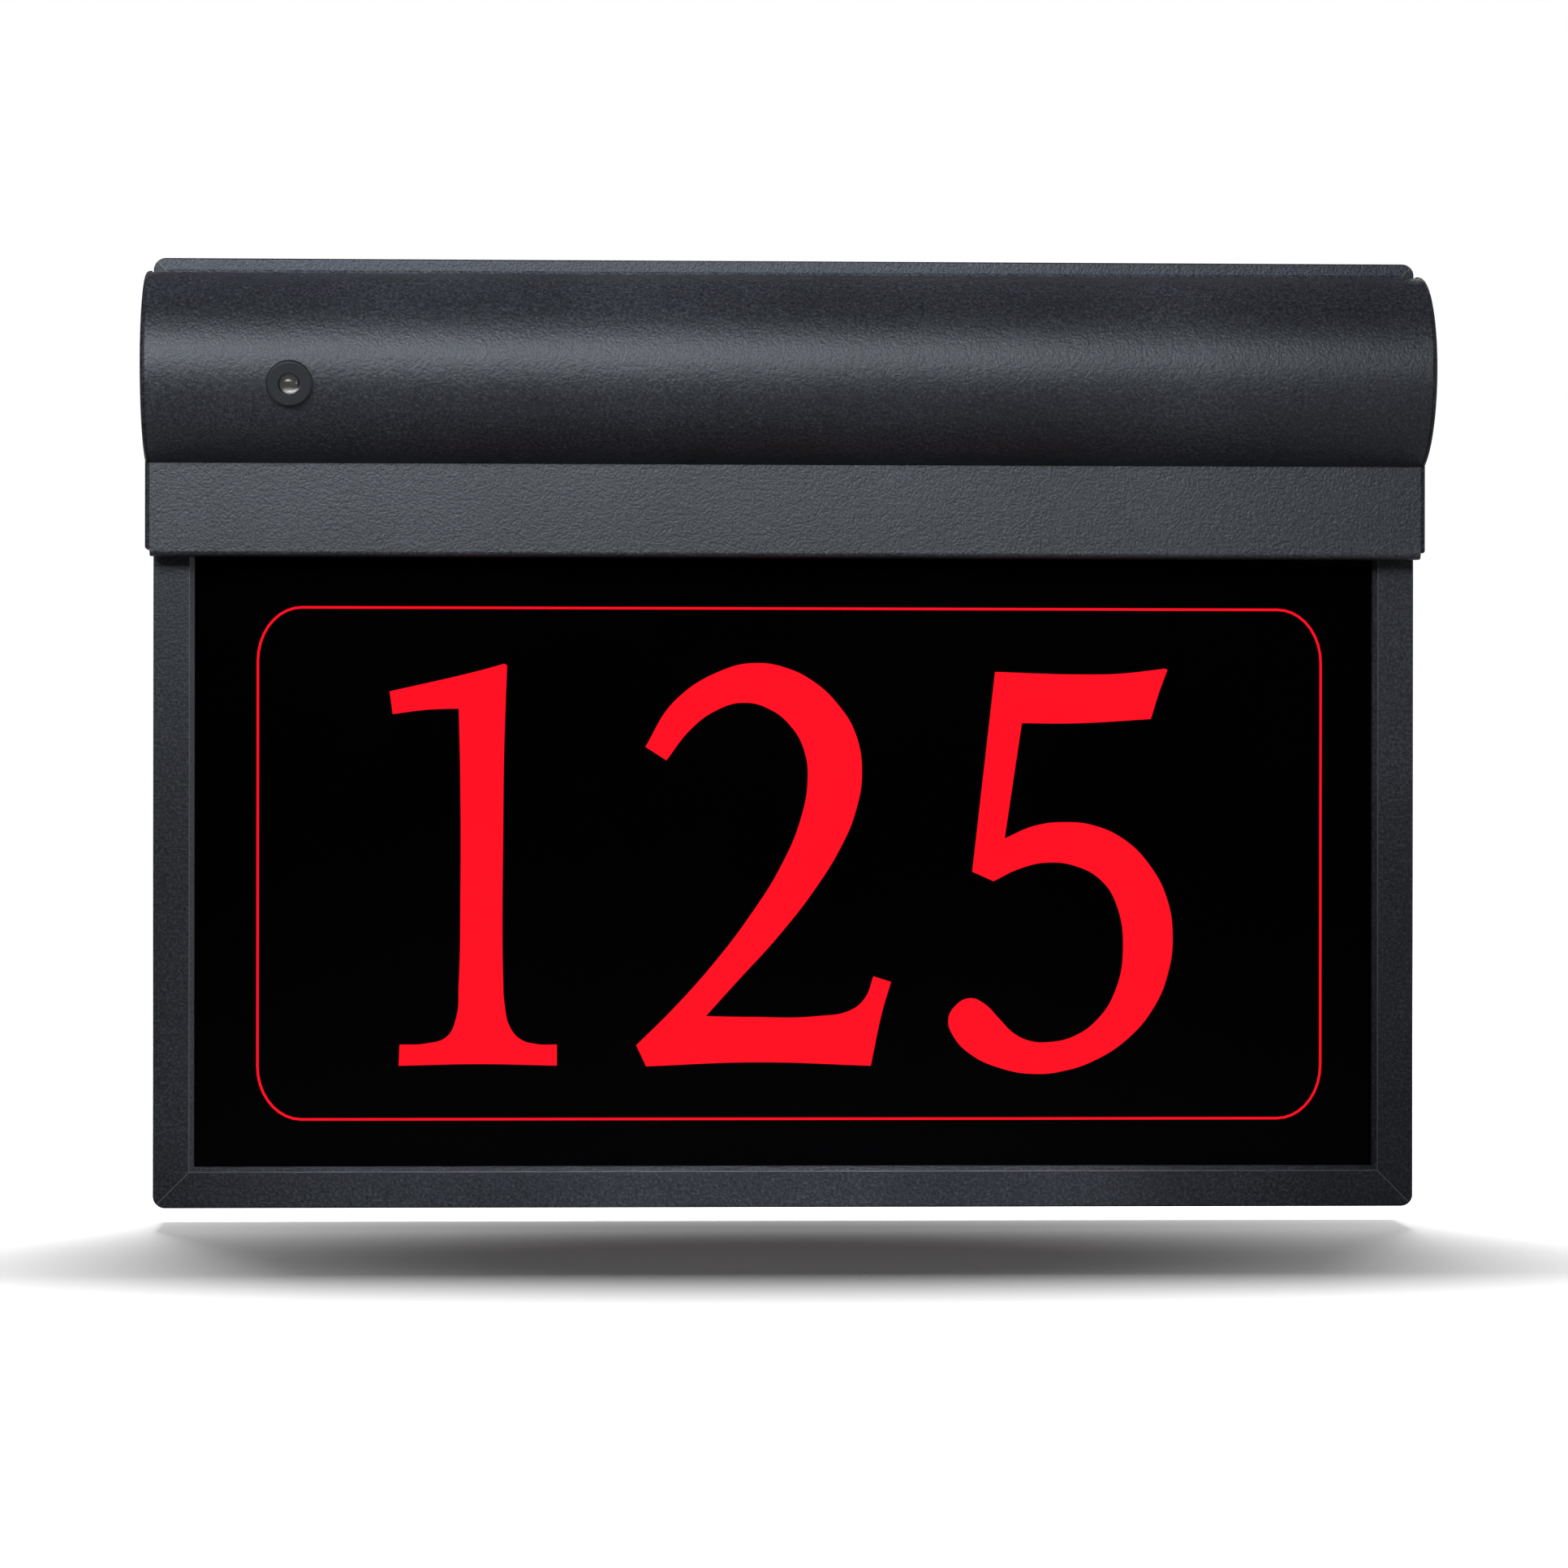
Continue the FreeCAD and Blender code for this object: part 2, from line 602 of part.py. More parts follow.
def led_channel():
    """Channel that clasps the tops of the layers and carries the LED board under its web."""
    rear_flange = BACKING_FRONT
    section = [
        rectangle_face(GASKET_FRONT, MASK_FRONT, CHANNEL_BOTTOM, WEB_TOP),
        rectangle_face(rear_flange, rear_flange + CHANNEL_FLANGE, CHANNEL_BOTTOM, WEB_TOP),
        rectangle_face(GASKET_FRONT, rear_flange + CHANNEL_FLANGE, WEB_BOTTOM, WEB_TOP),
    ]
    channel = bar(section, CHANNEL_END)
    lead_hole = rod(TWIN_LEAD_DIAMETER / 2 + LEAD_HOLE_CLEARANCE,
                    Vector(LED_LEAD_X, GUIDE_MIDDLE, WEB_BOTTOM - OVERSHOOT),
                    Vector(LED_LEAD_X, GUIDE_MIDDLE, WEB_TOP + OVERSHOOT))
    return cut_all(channel, [lead_hole] + channel_screws() + clip_screws())


def led_board():
    return span(-BOARD_END, BOARD_END, GUIDE_MIDDLE - BOARD_WIDTH / 2, GUIDE_MIDDLE + BOARD_WIDTH / 2,
                BOARD_BOTTOM, WEB_BOTTOM)


def led_chips():
    """LED packages in one row, facing down into the edge of the light guide."""
    return [span(x - LED_LENGTH / 2, x + LED_LENGTH / 2, GUIDE_MIDDLE - LED_WIDTH / 2,
                 GUIDE_MIDDLE + LED_WIDTH / 2, LED_BOTTOM, BOARD_BOTTOM)
            for x in spread(LED_COUNT, LED_PITCH)]


def channel_brackets():
    """Two angle brackets, each with a flat leg on the channel and an upright leg on the side rail."""
    front = BRACKET_MIDDLE - BRACKET_WIDTH / 2
    back = BRACKET_MIDDLE + BRACKET_WIDTH / 2
    brackets = []
    for sign in (-1, 1):
        wall = sign * (SIDE - RAIL_WALL)
        flat_ends = sorted((wall, wall - sign * BRACKET_LEG))
        upright_ends = sorted((wall, wall - sign * BRACKET_THICKNESS))
        flat = span(*flat_ends, front, back, WEB_TOP, WEB_TOP + BRACKET_THICKNESS)
        upright = span(*upright_ends, front, back, WEB_TOP, WEB_TOP + BRACKET_LEG)
        bracket = flat.fuse(upright).removeSplitter()
        brackets.append(cut_all(bracket, channel_screws()))
    return brackets


def channel_screws():
    """One screw down into the channel and one outwards into the rail at each bracket."""
    screws = []
    for sign in (-1, 1):
        wall = SIDE - RAIL_WALL
        down = Vector(sign * (wall - BRACKET_SCREW_REACH), BRACKET_MIDDLE, WEB_TOP + BRACKET_THICKNESS)
        screws.append(pan_screw(BRACKET_SCREW_LENGTH, down, Z_AXIS * -1))
        out = Vector(sign * (wall - BRACKET_THICKNESS), BRACKET_MIDDLE, WEB_TOP + BRACKET_SCREW_REACH)
        screws.append(pan_screw(BRACKET_THICKNESS + RAIL_WALL, out, X_AXIS * sign))
    return screws


def bracket_wall_screw_hole(sign):
    """Tool of the hole through the side rail's wall for a bracket's screw."""
    height = WEB_TOP + BRACKET_SCREW_REACH
    inner = Vector(sign * (SIDE - RAIL_WALL - OVERSHOOT), BRACKET_MIDDLE, height)
    outer = Vector(sign * (SIDE + OVERSHOOT), BRACKET_MIDDLE, height)
    return rod(SCREW_RADIUS, inner, outer)


# --- Hood -----------------------------------------------------------------------------------------

def upper_screw_channel():
    reach = HOOD_INNER_RADIUS - SCREW_CHANNEL_RADIUS + SCREW_CHANNEL_SINK
    return polar(BULGE_CENTRE, reach, SCREW_CHANNEL_ANGLE)


def lower_screw_channel():
    return (BAND_BACK + SCREW_CHANNEL_RADIUS - SCREW_CHANNEL_SINK, BAND_BOTTOM + SCREW_CHANNEL_RISE)


def catch_point():
    """Middle of the rounded nose of the catch rib."""
    return (BAND_BACK + CATCH_REACH, BAND_BOTTOM + CATCH_RISE)


def angle_at_standoff(radius, standoff):
    return math.degrees(math.acos(standoff / radius))


def hood_shell():
    """Extruded hood: hinge bead and neck, bulge, band, lip, two screw channels and the catch rib."""
    shoulder_y = HINGE[0] - SHOULDER_RADIUS
    shoulder_angle = angle_at_standoff(HOOD_RADIUS, FRONT - shoulder_y)
    inner_shoulder_angle = angle_at_standoff(HOOD_INNER_RADIUS, FRONT - shoulder_y)
    outer_end = -angle_at_standoff(HOOD_RADIUS, BAND_STANDOFF)
    inner_end = -angle_at_standoff(HOOD_INNER_RADIUS, BAND_STANDOFF - HOOD_WALL)
    band_inner_top = polar(BULGE_CENTRE, HOOD_INNER_RADIUS, inner_end)
    bulge_and_band = Part.Face(Part.Wire([
        arc_edge(BULGE_CENTRE, HOOD_RADIUS, shoulder_angle, outer_end),
        line_edge((BAND_FRONT, BAND_TOP), (BAND_FRONT, BAND_BOTTOM)),
        line_edge((BAND_FRONT, BAND_BOTTOM), (BAND_BACK, BAND_BOTTOM)),
        line_edge((BAND_BACK, BAND_BOTTOM), band_inner_top),
        arc_edge(BULGE_CENTRE, HOOD_INNER_RADIUS, inner_end, inner_shoulder_angle),
        line_edge(polar(BULGE_CENTRE, HOOD_INNER_RADIUS, inner_shoulder_angle),
                  polar(BULGE_CENTRE, HOOD_RADIUS, shoulder_angle)),
    ]))
    catch = catch_point()
    half_neck = NECK_THICKNESS / 2
    section = [
        bulge_and_band,
        rectangle_face(BAND_FRONT, BAND_FRONT + HOOD_LIP_REACH, BAND_BOTTOM, BAND_BOTTOM + HOOD_WALL),
        disc_face(HINGE, BEAD_RADIUS),
        rectangle_face(shoulder_y - HOOD_WALL, HINGE[0], HINGE[1] - half_neck, HINGE[1] + half_neck),
        rectangle_face(BAND_BACK - HOOD_WALL / 2, catch[0], catch[1] - CATCH_THICKNESS / 2,
                       catch[1] + CATCH_THICKNESS / 2),
        disc_face(catch, CATCH_BEAD_RADIUS),
        disc_face(upper_screw_channel(), SCREW_CHANNEL_RADIUS),
        disc_face(lower_screw_channel(), SCREW_CHANNEL_RADIUS),
    ]
    shell = bar(section, HOOD_SIDE)
    front_edges = [e for e in shell.Edges
                   if e.Length > HOOD_SIDE and abs(e.CenterOfMass.y - BAND_FRONT) < NEAR
                   and abs(e.CenterOfMass.z - BAND_BOTTOM) < NEAR]
    shell = shell.makeFillet(BAND_EDGE_RADIUS, front_edges)
    bores = [bar([disc_face(place, SCREW_RADIUS)], HOOD_SIDE)
             for place in (upper_screw_channel(), lower_screw_channel())]
    sensor_hole = rod(GROMMET_NECK_RADIUS, sensor_point(LENS_BACK), sensor_point(HOOD_RADIUS + OVERSHOOT))
    return cut_all(shell, bores + [sensor_hole] + end_cap_screws())


def end_cap(sign):
    """Flat plate over one end of the hood, with a skirt beside the frame."""
    skirt = FRONT + CAP_SKIRT
    crown = BULGE_CENTRE[1] + HOOD_RADIUS
    bottom = BAND_BOTTOM + CAP_RISE
    band_angle = -angle_at_standoff(HOOD_RADIUS, BAND_STANDOFF)
    outline = Part.Wire([
        arc_edge(BULGE_CENTRE, HOOD_RADIUS, 90, band_angle),
        line_edge((BAND_FRONT, BAND_TOP), (BAND_FRONT, bottom)),
        line_edge((BAND_FRONT, bottom), (skirt, bottom)),
        line_edge((skirt, bottom), (skirt, crown)),
        line_edge((skirt, crown), (FRONT, crown)),
    ])
    plate = Part.Face(outline).extrude(X_AXIS * CAP_THICKNESS)
    corners = [e for e in plate.Edges if abs(e.CenterOfMass.y - skirt) < NEAR
               and e.Length < CAP_THICKNESS + NEAR]
    plate = plate.makeFillet(CAP_CORNER_RADIUS, corners)
    outer_face = CAP_THICKNESS if sign > 0 else 0
    rim = [e for e in plate.Edges if abs(e.CenterOfMass.x - outer_face) < NEAR]
    plate = plate.makeFillet(CAP_EDGE_RADIUS, rim)
    plate.translate(X_AXIS * (HOOD_SIDE if sign > 0 else -CAP_SIDE))
    return cut_all(plate, end_cap_screws())


def end_cap_screws():
    """Flush screws through the end caps into the screw channels of the hood."""
    return [countersunk_screw(CAP_SCREW_LENGTH, in_section(place, sign * CAP_SIDE), X_AXIS * -sign)
            for sign in (-1, 1) for place in (upper_screw_channel(), lower_screw_channel())]


def hood_seal():
    """Soft strip behind the hood's lip, with a rounded nose just off the frame."""
    back = FRONT - SEAL_GAP
    front = BAND_FRONT + HOOD_LIP_REACH
    nose = (back - SEAL_HEIGHT / 2, BAND_BOTTOM + SEAL_HEIGHT / 2)
    section = [
        rectangle_face(front, nose[0], BAND_BOTTOM, BAND_BOTTOM + SEAL_HEIGHT),
        disc_face(nose, SEAL_HEIGHT / 2),
    ]
    return bar(section, SIDE - CAP_THICKNESS)


# --- Hood catch -----------------------------------------------------------------------------------

def snap_clips():
    """Leaf springs on the LED channel: the hook stands just under the nose of the catch rib."""
    catch = catch_point()
    hook_top = catch[1] - CATCH_BEAD_RADIUS - CLIP_GAP
    hook_y = catch[0] - CATCH_BEAD_RADIUS - CLIP_HOOK_RUN / 2
    arm = hook_top - CLIP_HOOK_RISE
    foot_end = GASKET_FRONT + CLIP_FOOT
    upper = [
        (foot_end, WEB_TOP + CLIP_LEAF), (GASKET_FRONT, WEB_TOP + CLIP_LEAF),
        (hook_y + CLIP_HOOK_HEEL, arm), (hook_y, hook_top), (hook_y - CLIP_HOOK_RUN, arm),
    ]
    lower = [(y, z - CLIP_LEAF) for y, z in reversed(upper)]
    section = polygon_face(upper + lower)
    clips = []
    for sign in (-1, 1):
        clip = bar([section], CLIP_WIDTH / 2)
        clip.translate(X_AXIS * (sign * (SIDE - CLIP_SETBACK)))
        clips.append(cut_all(clip, clip_screws()))
    return clips


def clip_screws():
    seats = [Vector(s * (SIDE - CLIP_SETBACK), GASKET_FRONT + CLIP_SCREW_REACH, WEB_TOP + CLIP_LEAF)
             for s in (-1, 1)]
    return [pan_screw(CLIP_LEAF + CHANNEL_WEB, seat, Z_AXIS * -1) for seat in seats]


# --- Dusk sensor ----------------------------------------------------------------------------------

def sensor_direction():
    """Outward direction of the sensor, square to the bulge."""
    return in_section(polar((0, 0), 1, SENSOR_ANGLE))


def sensor_point(radius, across=0.0):
    """Point on the sensor's axis at a distance from the middle of the bulge."""
    return in_section(polar(BULGE_CENTRE, radius, SENSOR_ANGLE), SENSOR_X + across)


def bulge_cylinder(radius):
    """Round bar about the middle of the bulge, near the sensor."""
    reach = GROMMET_RADIUS * 2
    return rod(radius, in_section(BULGE_CENTRE, SENSOR_X - reach), in_section(BULGE_CENTRE, SENSOR_X + reach))


def sensor_grommet():
    """Rubber ring that grips the hood's wall from both sides."""
    face = HOOD_RADIUS + GROMMET_RISE
    rear = HOOD_INNER_RADIUS - GROMMET_REAR_THICKNESS
    front_ring = rod(GROMMET_RADIUS, sensor_point(HOOD_INNER_RADIUS), sensor_point(face))
    rim = [e for e in front_ring.Edges if e.Closed and (e.CenterOfMass - sensor_point(face)).Length < NEAR]
    front_ring = front_ring.makeFillet(GROMMET_EDGE_RADIUS, rim).cut(bulge_cylinder(HOOD_RADIUS))
    rear_ring = rod(GROMMET_REAR_RADIUS, sensor_point(rear), sensor_point(HOOD_RADIUS))
    rear_ring = rear_ring.common(bulge_cylinder(HOOD_INNER_RADIUS))
    neck = rod(GROMMET_NECK_RADIUS, sensor_point(rear), sensor_point(face - GROMMET_RISE / 2))
    bore = rod(LENS_RADIUS, sensor_point(rear - OVERSHOOT), sensor_point(face + OVERSHOOT))
    return front_ring.multiFuse([rear_ring, neck]).cut(bore).removeSplitter()


def sensor_lens():
    """Clear domed package with a rim behind the grommet and a pocket for the cell."""
    dome_centre = HOOD_RADIUS + GROMMET_RISE + LENS_RISE - LENS_RADIUS
    body = rod(LENS_RADIUS, sensor_point(LENS_BACK), sensor_point(dome_centre))
    rim = rod(LENS_RIM_RADIUS, sensor_point(LENS_BACK), sensor_point(LENS_BACK + LENS_RIM_THICKNESS))
    dome = Part.makeSphere(LENS_RADIUS, sensor_point(dome_centre))
    pocket = rod(CELL_RADIUS, sensor_point(LENS_BACK - OVERSHOOT), sensor_point(LENS_BACK + CELL_LENGTH))
    return body.multiFuse([rim, dome]).cut(pocket).removeSplitter()


def sensor_cell():
    """Cell with its two legs, which reach back to the board."""
    cell = rod(CELL_RADIUS, sensor_point(LENS_BACK), sensor_point(LENS_BACK + CELL_LENGTH))
    legs = [rod(CELL_LEG_RADIUS, sensor_point(SENSOR_BOARD_FRONT, s * CELL_LEG_SPACING / 2),
                sensor_point(LENS_BACK + CELL_LENGTH / 2, s * CELL_LEG_SPACING / 2)) for s in (-1, 1)]
    return cell.multiFuse(legs).removeSplitter()


def sensor_holder():
    """Short tube glued in the bulge, with two eared posts for the board's screws."""
    tube = rod(HOLDER_RADIUS, sensor_point(SENSOR_BOARD_FRONT), sensor_point(HOOD_RADIUS))
    ears = [rod(HOLDER_EAR_RADIUS, sensor_point(SENSOR_BOARD_FRONT, s * HOLDER_EAR_SPACING / 2),
                sensor_point(HOOD_RADIUS, s * HOLDER_EAR_SPACING / 2)) for s in (-1, 1)]
    bore = rod(HOLDER_RADIUS - HOLDER_WALL, sensor_point(SENSOR_BOARD_FRONT - OVERSHOOT),
               sensor_point(HOOD_RADIUS + OVERSHOOT))
    body = tube.multiFuse(ears).common(bulge_cylinder(HOOD_INNER_RADIUS)).cut(bore)
    return cut_all(body, sensor_board_screws()).removeSplitter()


def sensor_board():
    """Small circuit board across the back of the holder."""
    block = Part.makeBox(SENSOR_BOARD_LENGTH, SENSOR_BOARD_HEIGHT, BOARD_THICKNESS,
                         Vector(-SENSOR_BOARD_LENGTH / 2, -SENSOR_BOARD_HEIGHT / 2, 0))
    turn = FreeCAD.Rotation(X_AXIS, Vector(), sensor_direction(), "ZXY")
    block.Placement = FreeCAD.Placement(sensor_point(SENSOR_BOARD_BACK), turn)
    return cut_all(block, sensor_board_screws())


def sensor_board_screws():
    seats = [sensor_point(SENSOR_BOARD_BACK, s * HOLDER_EAR_SPACING / 2) for s in (-1, 1)]
    return [pan_screw(HOLDER_SCREW_LENGTH, seat, sensor_direction(), HOLDER_SCREW_RADIUS,
                      HOLDER_SCREW_HEAD_RADIUS, HOLDER_SCREW_HEAD) for seat in seats]


# --- Wiring ---------------------------------------------------------------------------------------

def driver_case():
    """Potted case with a screw ear at each end."""
    front = BACK_INNER - DRIVER_CASE_DEPTH
    half = DRIVER_HEIGHT / 2
    case = rounded_block(DRIVER_LEFT, DRIVER_RIGHT, front, BACK_INNER, DRIVER_Z - half, DRIVER_Z + half,
                         DRIVER_CORNER_RADIUS)
    half_ear = DRIVER_EAR_WIDTH / 2
    ears = rounded_block(DRIVER_LEFT - DRIVER_EAR_LENGTH, DRIVER_RIGHT + DRIVER_EAR_LENGTH,
                         BACK_INNER - DRIVER_EAR_THICKNESS, BACK_INNER, DRIVER_Z - half_ear,
                         DRIVER_Z + half_ear, DRIVER_CORNER_RADIUS)
    return cut_all(case.fuse(ears).removeSplitter(), driver_screws())


def driver_cover():
    """Cover with a step round its edge."""
    back = BACK_INNER - DRIVER_CASE_DEPTH
    middle = back - DRIVER_COVER_DEPTH / 2
    layers = []
    for front, rear, step in ((middle, back, 0), (back - DRIVER_COVER_DEPTH, middle, DRIVER_COVER_STEP)):
        half = DRIVER_HEIGHT / 2 - step
        layers.append(rounded_block(DRIVER_LEFT + step, DRIVER_RIGHT - step, front, rear, DRIVER_Z - half,
                                    DRIVER_Z + half, DRIVER_CORNER_RADIUS - step))
    return layers[0].fuse(layers[1]).removeSplitter()


def driver_screws():
    seat = BACK_INNER - DRIVER_EAR_THICKNESS
    return [pan_screw(DRIVER_EAR_THICKNESS + BACK_THICKNESS / 2, Vector(x, seat, DRIVER_Z), Y_AXIS)
            for x in (DRIVER_LEFT - DRIVER_EAR_LENGTH / 2, DRIVER_RIGHT + DRIVER_EAR_LENGTH / 2)]


def terminal_poles():
    """Heights of the two poles."""
    return [DRIVER_Z + s * POLE_SPACING / 2 for s in (-1, 1)]


def terminal_block():
    """Two-pole block with a wire entry and a screw well at both ends of each pole."""
    half = TERMINAL_LENGTH / 2
    half_height = TERMINAL_HEIGHT / 2
    mouth = Y_AXIS * OVERSHOOT
    block = span(TERMINAL_X - half, TERMINAL_X + half, TERMINAL_FRONT, BACK_INNER,
                 DRIVER_Z - half_height, DRIVER_Z + half_height)
    tools = []
    for height in terminal_poles():
        for s in (-1, 1):
            end = Vector(TERMINAL_X + s * half, TERMINAL_FRONT + POLE_DEPTH_FROM_FRONT, height)
            tools.append(rod(WIRE_ENTRY_RADIUS, end - X_AXIS * (s * WIRE_ENTRY_LENGTH),
                             end + X_AXIS * (s * OVERSHOOT)))
            well = Vector(TERMINAL_X + s * WELL_SPACING / 2, TERMINAL_FRONT, height)
            tools.append(rod(WELL_RADIUS, well - mouth, well + Y_AXIS * WELL_DEPTH))
    mount_well = Vector(TERMINAL_X, TERMINAL_FRONT, DRIVER_Z)
    tools.append(rod(SCREW_HEAD_RADIUS, mount_well - mouth, mount_well + Y_AXIS * TERMINAL_MOUNT_HEAD_DEPTH))
    return cut_all(block, tools + [terminal_mount_screw()])


def terminal_screws():
    """Clamp screws seated on the floors of the wells, each with a slot across its head."""
    floor = TERMINAL_FRONT + WELL_DEPTH
    head = floor - TERMINAL_SCREW_HEIGHT
    half_slot = TERMINAL_SLOT_WIDTH / 2
    screws = []
    for height in terminal_poles():
        for s in (-1, 1):
            foot = Vector(TERMINAL_X + s * WELL_SPACING / 2, floor, height)
            screw = rod(TERMINAL_SCREW_RADIUS, foot - Y_AXIS * TERMINAL_SCREW_HEIGHT, foot)
            slot = span(foot.x - TERMINAL_SCREW_RADIUS, foot.x + TERMINAL_SCREW_RADIUS, head - OVERSHOOT,
                        head + TERMINAL_SLOT_DEPTH, height - half_slot, height + half_slot)
            screws.append(screw.cut(slot))
    return screws


def terminal_mount_screw():
    seat = TERMINAL_FRONT + TERMINAL_MOUNT_HEAD_DEPTH
    length = BACK_INNER - seat + BACK_THICKNESS / 2
    return pan_screw(length, Vector(TERMINAL_X, seat, DRIVER_Z), Y_AXIS)


def cable_grommet():
    """Rubber bush for the supply cord: flush barrel, flange and a tapered snout inside the box."""
    def at(y):
        return Vector(CABLE_X, y, CABLE_Z)
    flange_front = BACK_INNER - CABLE_FLANGE_THICKNESS
    tip = flange_front - CABLE_SNOUT_LENGTH
    barrel = rod(CABLE_BARREL_RADIUS, at(BACK_INNER), at(0))
    flange = rod(CABLE_FLANGE_RADIUS, at(flange_front), at(BACK_INNER))
    snout = Part.makeCone(CABLE_SNOUT_TIP_RADIUS, CABLE_SNOUT_ROOT_RADIUS, CABLE_SNOUT_LENGTH, at(tip),
                          Y_AXIS)
    bore = rod(CABLE_BORE_RADIUS, at(tip - OVERSHOOT), at(OVERSHOOT))
    return barrel.multiFuse([flange, snout]).cut(bore).removeSplitter()


def supply_leads():
    """Two short leads from the driver to the near side of the terminal block."""
    end_x = TERMINAL_X - TERMINAL_LENGTH / 2 + WIRE_ENTRY_LENGTH
    end_y = TERMINAL_FRONT + POLE_DEPTH_FROM_FRONT
    run = X_AXIS * ((end_x - DRIVER_RIGHT) / 3)
    leads = []
    for s, height in zip((-1, 1), terminal_poles()):
        start = Vector(DRIVER_RIGHT, LEAD_DEPTH, DRIVER_Z + s * SUPPLY_LEAD_SPACING / 2)
        end = Vector(end_x, end_y, height)
        leads.append(lead("supply_leads", [start, start + run, end - run, end], SUPPLY_LEAD_DIAMETER))
    return leads


def led_lead():
    """Twin lead from the driver down through the channel's web to the LED board."""
    start = Vector(DRIVER_RIGHT, LEAD_DEPTH, DRIVER_Z - LED_LEAD_DROP)
    end = Vector(LED_LEAD_X, GUIDE_MIDDLE, WEB_BOTTOM)
    points = [
        start,
        start + X_AXIS * LED_LEAD_EXIT,
        start + Vector(*LED_LEAD_SWEEP),
        end + Z_AXIS * LED_LEAD_UPRIGHT,
        end,
    ]
    return lead("led_lead", points, TWIN_LEAD_DIAMETER)


def sensor_lead():
    """Twin lead with spare length in a low loop, from the sensor board across the hinge to the driver."""
    start = sensor_point(SENSOR_BOARD_BACK, SENSOR_LEAD_OFFSET)
    end = Vector(DRIVER_LEFT, LEAD_DEPTH, DRIVER_Z)
    points = [start, start - sensor_direction() * SENSOR_LEAD_EXIT]
    points += [start + Vector(*offset) for offset in SENSOR_LEAD_LOOP]
    points += [end + Vector(*offset) for offset in SENSOR_LEAD_CLIMB]
    points += [end - X_AXIS * SENSOR_LEAD_ENTRY, end]
    return lead("sensor_lead", points, TWIN_LEAD_DIAMETER)


# --- Assembly -------------------------------------------------------------------------------------

def parts():
    """Every sub-part by name: one solid, or a list of like solids."""
    nodes = dict(frame_rails())
    nodes.update({
        "corner_keys": corner_keys(),
        "back_panel": back_panel(),
        "back_panel_screws": back_screws(),
        "panel_gasket": panel_gasket(),
        "mask_film": sheet(MASK_FRONT, MASK_THICKNESS),
        "number_panel": sheet(PANEL_FRONT, PANEL_THICKNESS),
        "diffuser_sheet": sheet(DIFFUSER_FRONT, DIFFUSER_THICKNESS),
        "light_guide": sheet(GUIDE_FRONT, GUIDE_THICKNESS),
        "reflector_sheet": sheet(REFLECTOR_FRONT, REFLECTOR_THICKNESS),
        "backing_plate": sheet(BACKING_FRONT, BACKING_THICKNESS, CHANNEL_BOTTOM - BACKING_TOP_GAP),
        "led_channel": led_channel(),
        "led_board": led_board(),
        "led_chips": led_chips(),
        "channel_brackets": channel_brackets(),
        "channel_screws": channel_screws(),
        "snap_clips": snap_clips(),
        "clip_screws": clip_screws(),
        "driver_case": driver_case(),
        "driver_cover": driver_cover(),
        "driver_screws": driver_screws(),
        "terminal_block": terminal_block(),
        "terminal_screws": terminal_screws(),
        "terminal_mount_screw": terminal_mount_screw(),
        "cable_grommet": cable_grommet(),
        "supply_leads": supply_leads(),
        "led_lead": led_lead(),
        "sensor_lead": sensor_lead(),
        "hood_shell": hood_shell(),
        "left_end_cap": end_cap(-1),
        "right_end_cap": end_cap(1),
        "end_cap_screws": end_cap_screws(),
        "hood_seal": hood_seal(),
        "sensor_grommet": sensor_grommet(),
        "sensor_lens": sensor_lens(),
        "sensor_cell": sensor_cell(),
        "sensor_holder": sensor_holder(),
        "sensor_board": sensor_board(),
        "sensor_board_screws": sensor_board_screws(),
    })
    return nodes


def main():
    os.makedirs("parts", exist_ok=True)
    for name, shape in parts().items():
        solids = shape if isinstance(shape, list) else [shape]
        solids = [solid for piece in solids for solid in piece.Solids]
        result = solids[0] if len(solids) == 1 else Part.makeCompound(solids)
        if not result.isValid() or not solids:
            print(f"{name}: not a valid shape")
        result.exportStep(f"parts/{name}.step")
        print(f"{name}: {len(solids)} solid(s), {sum(s.Volume for s in solids):.1f} mm3")


main()
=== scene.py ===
"""Illuminated house number sign: finishes, the cut-out number mask, screws, sensor lead and studio."""

import json
import math

import bmesh
import bpy
import numpy as np
from mathutils import Matrix, Vector


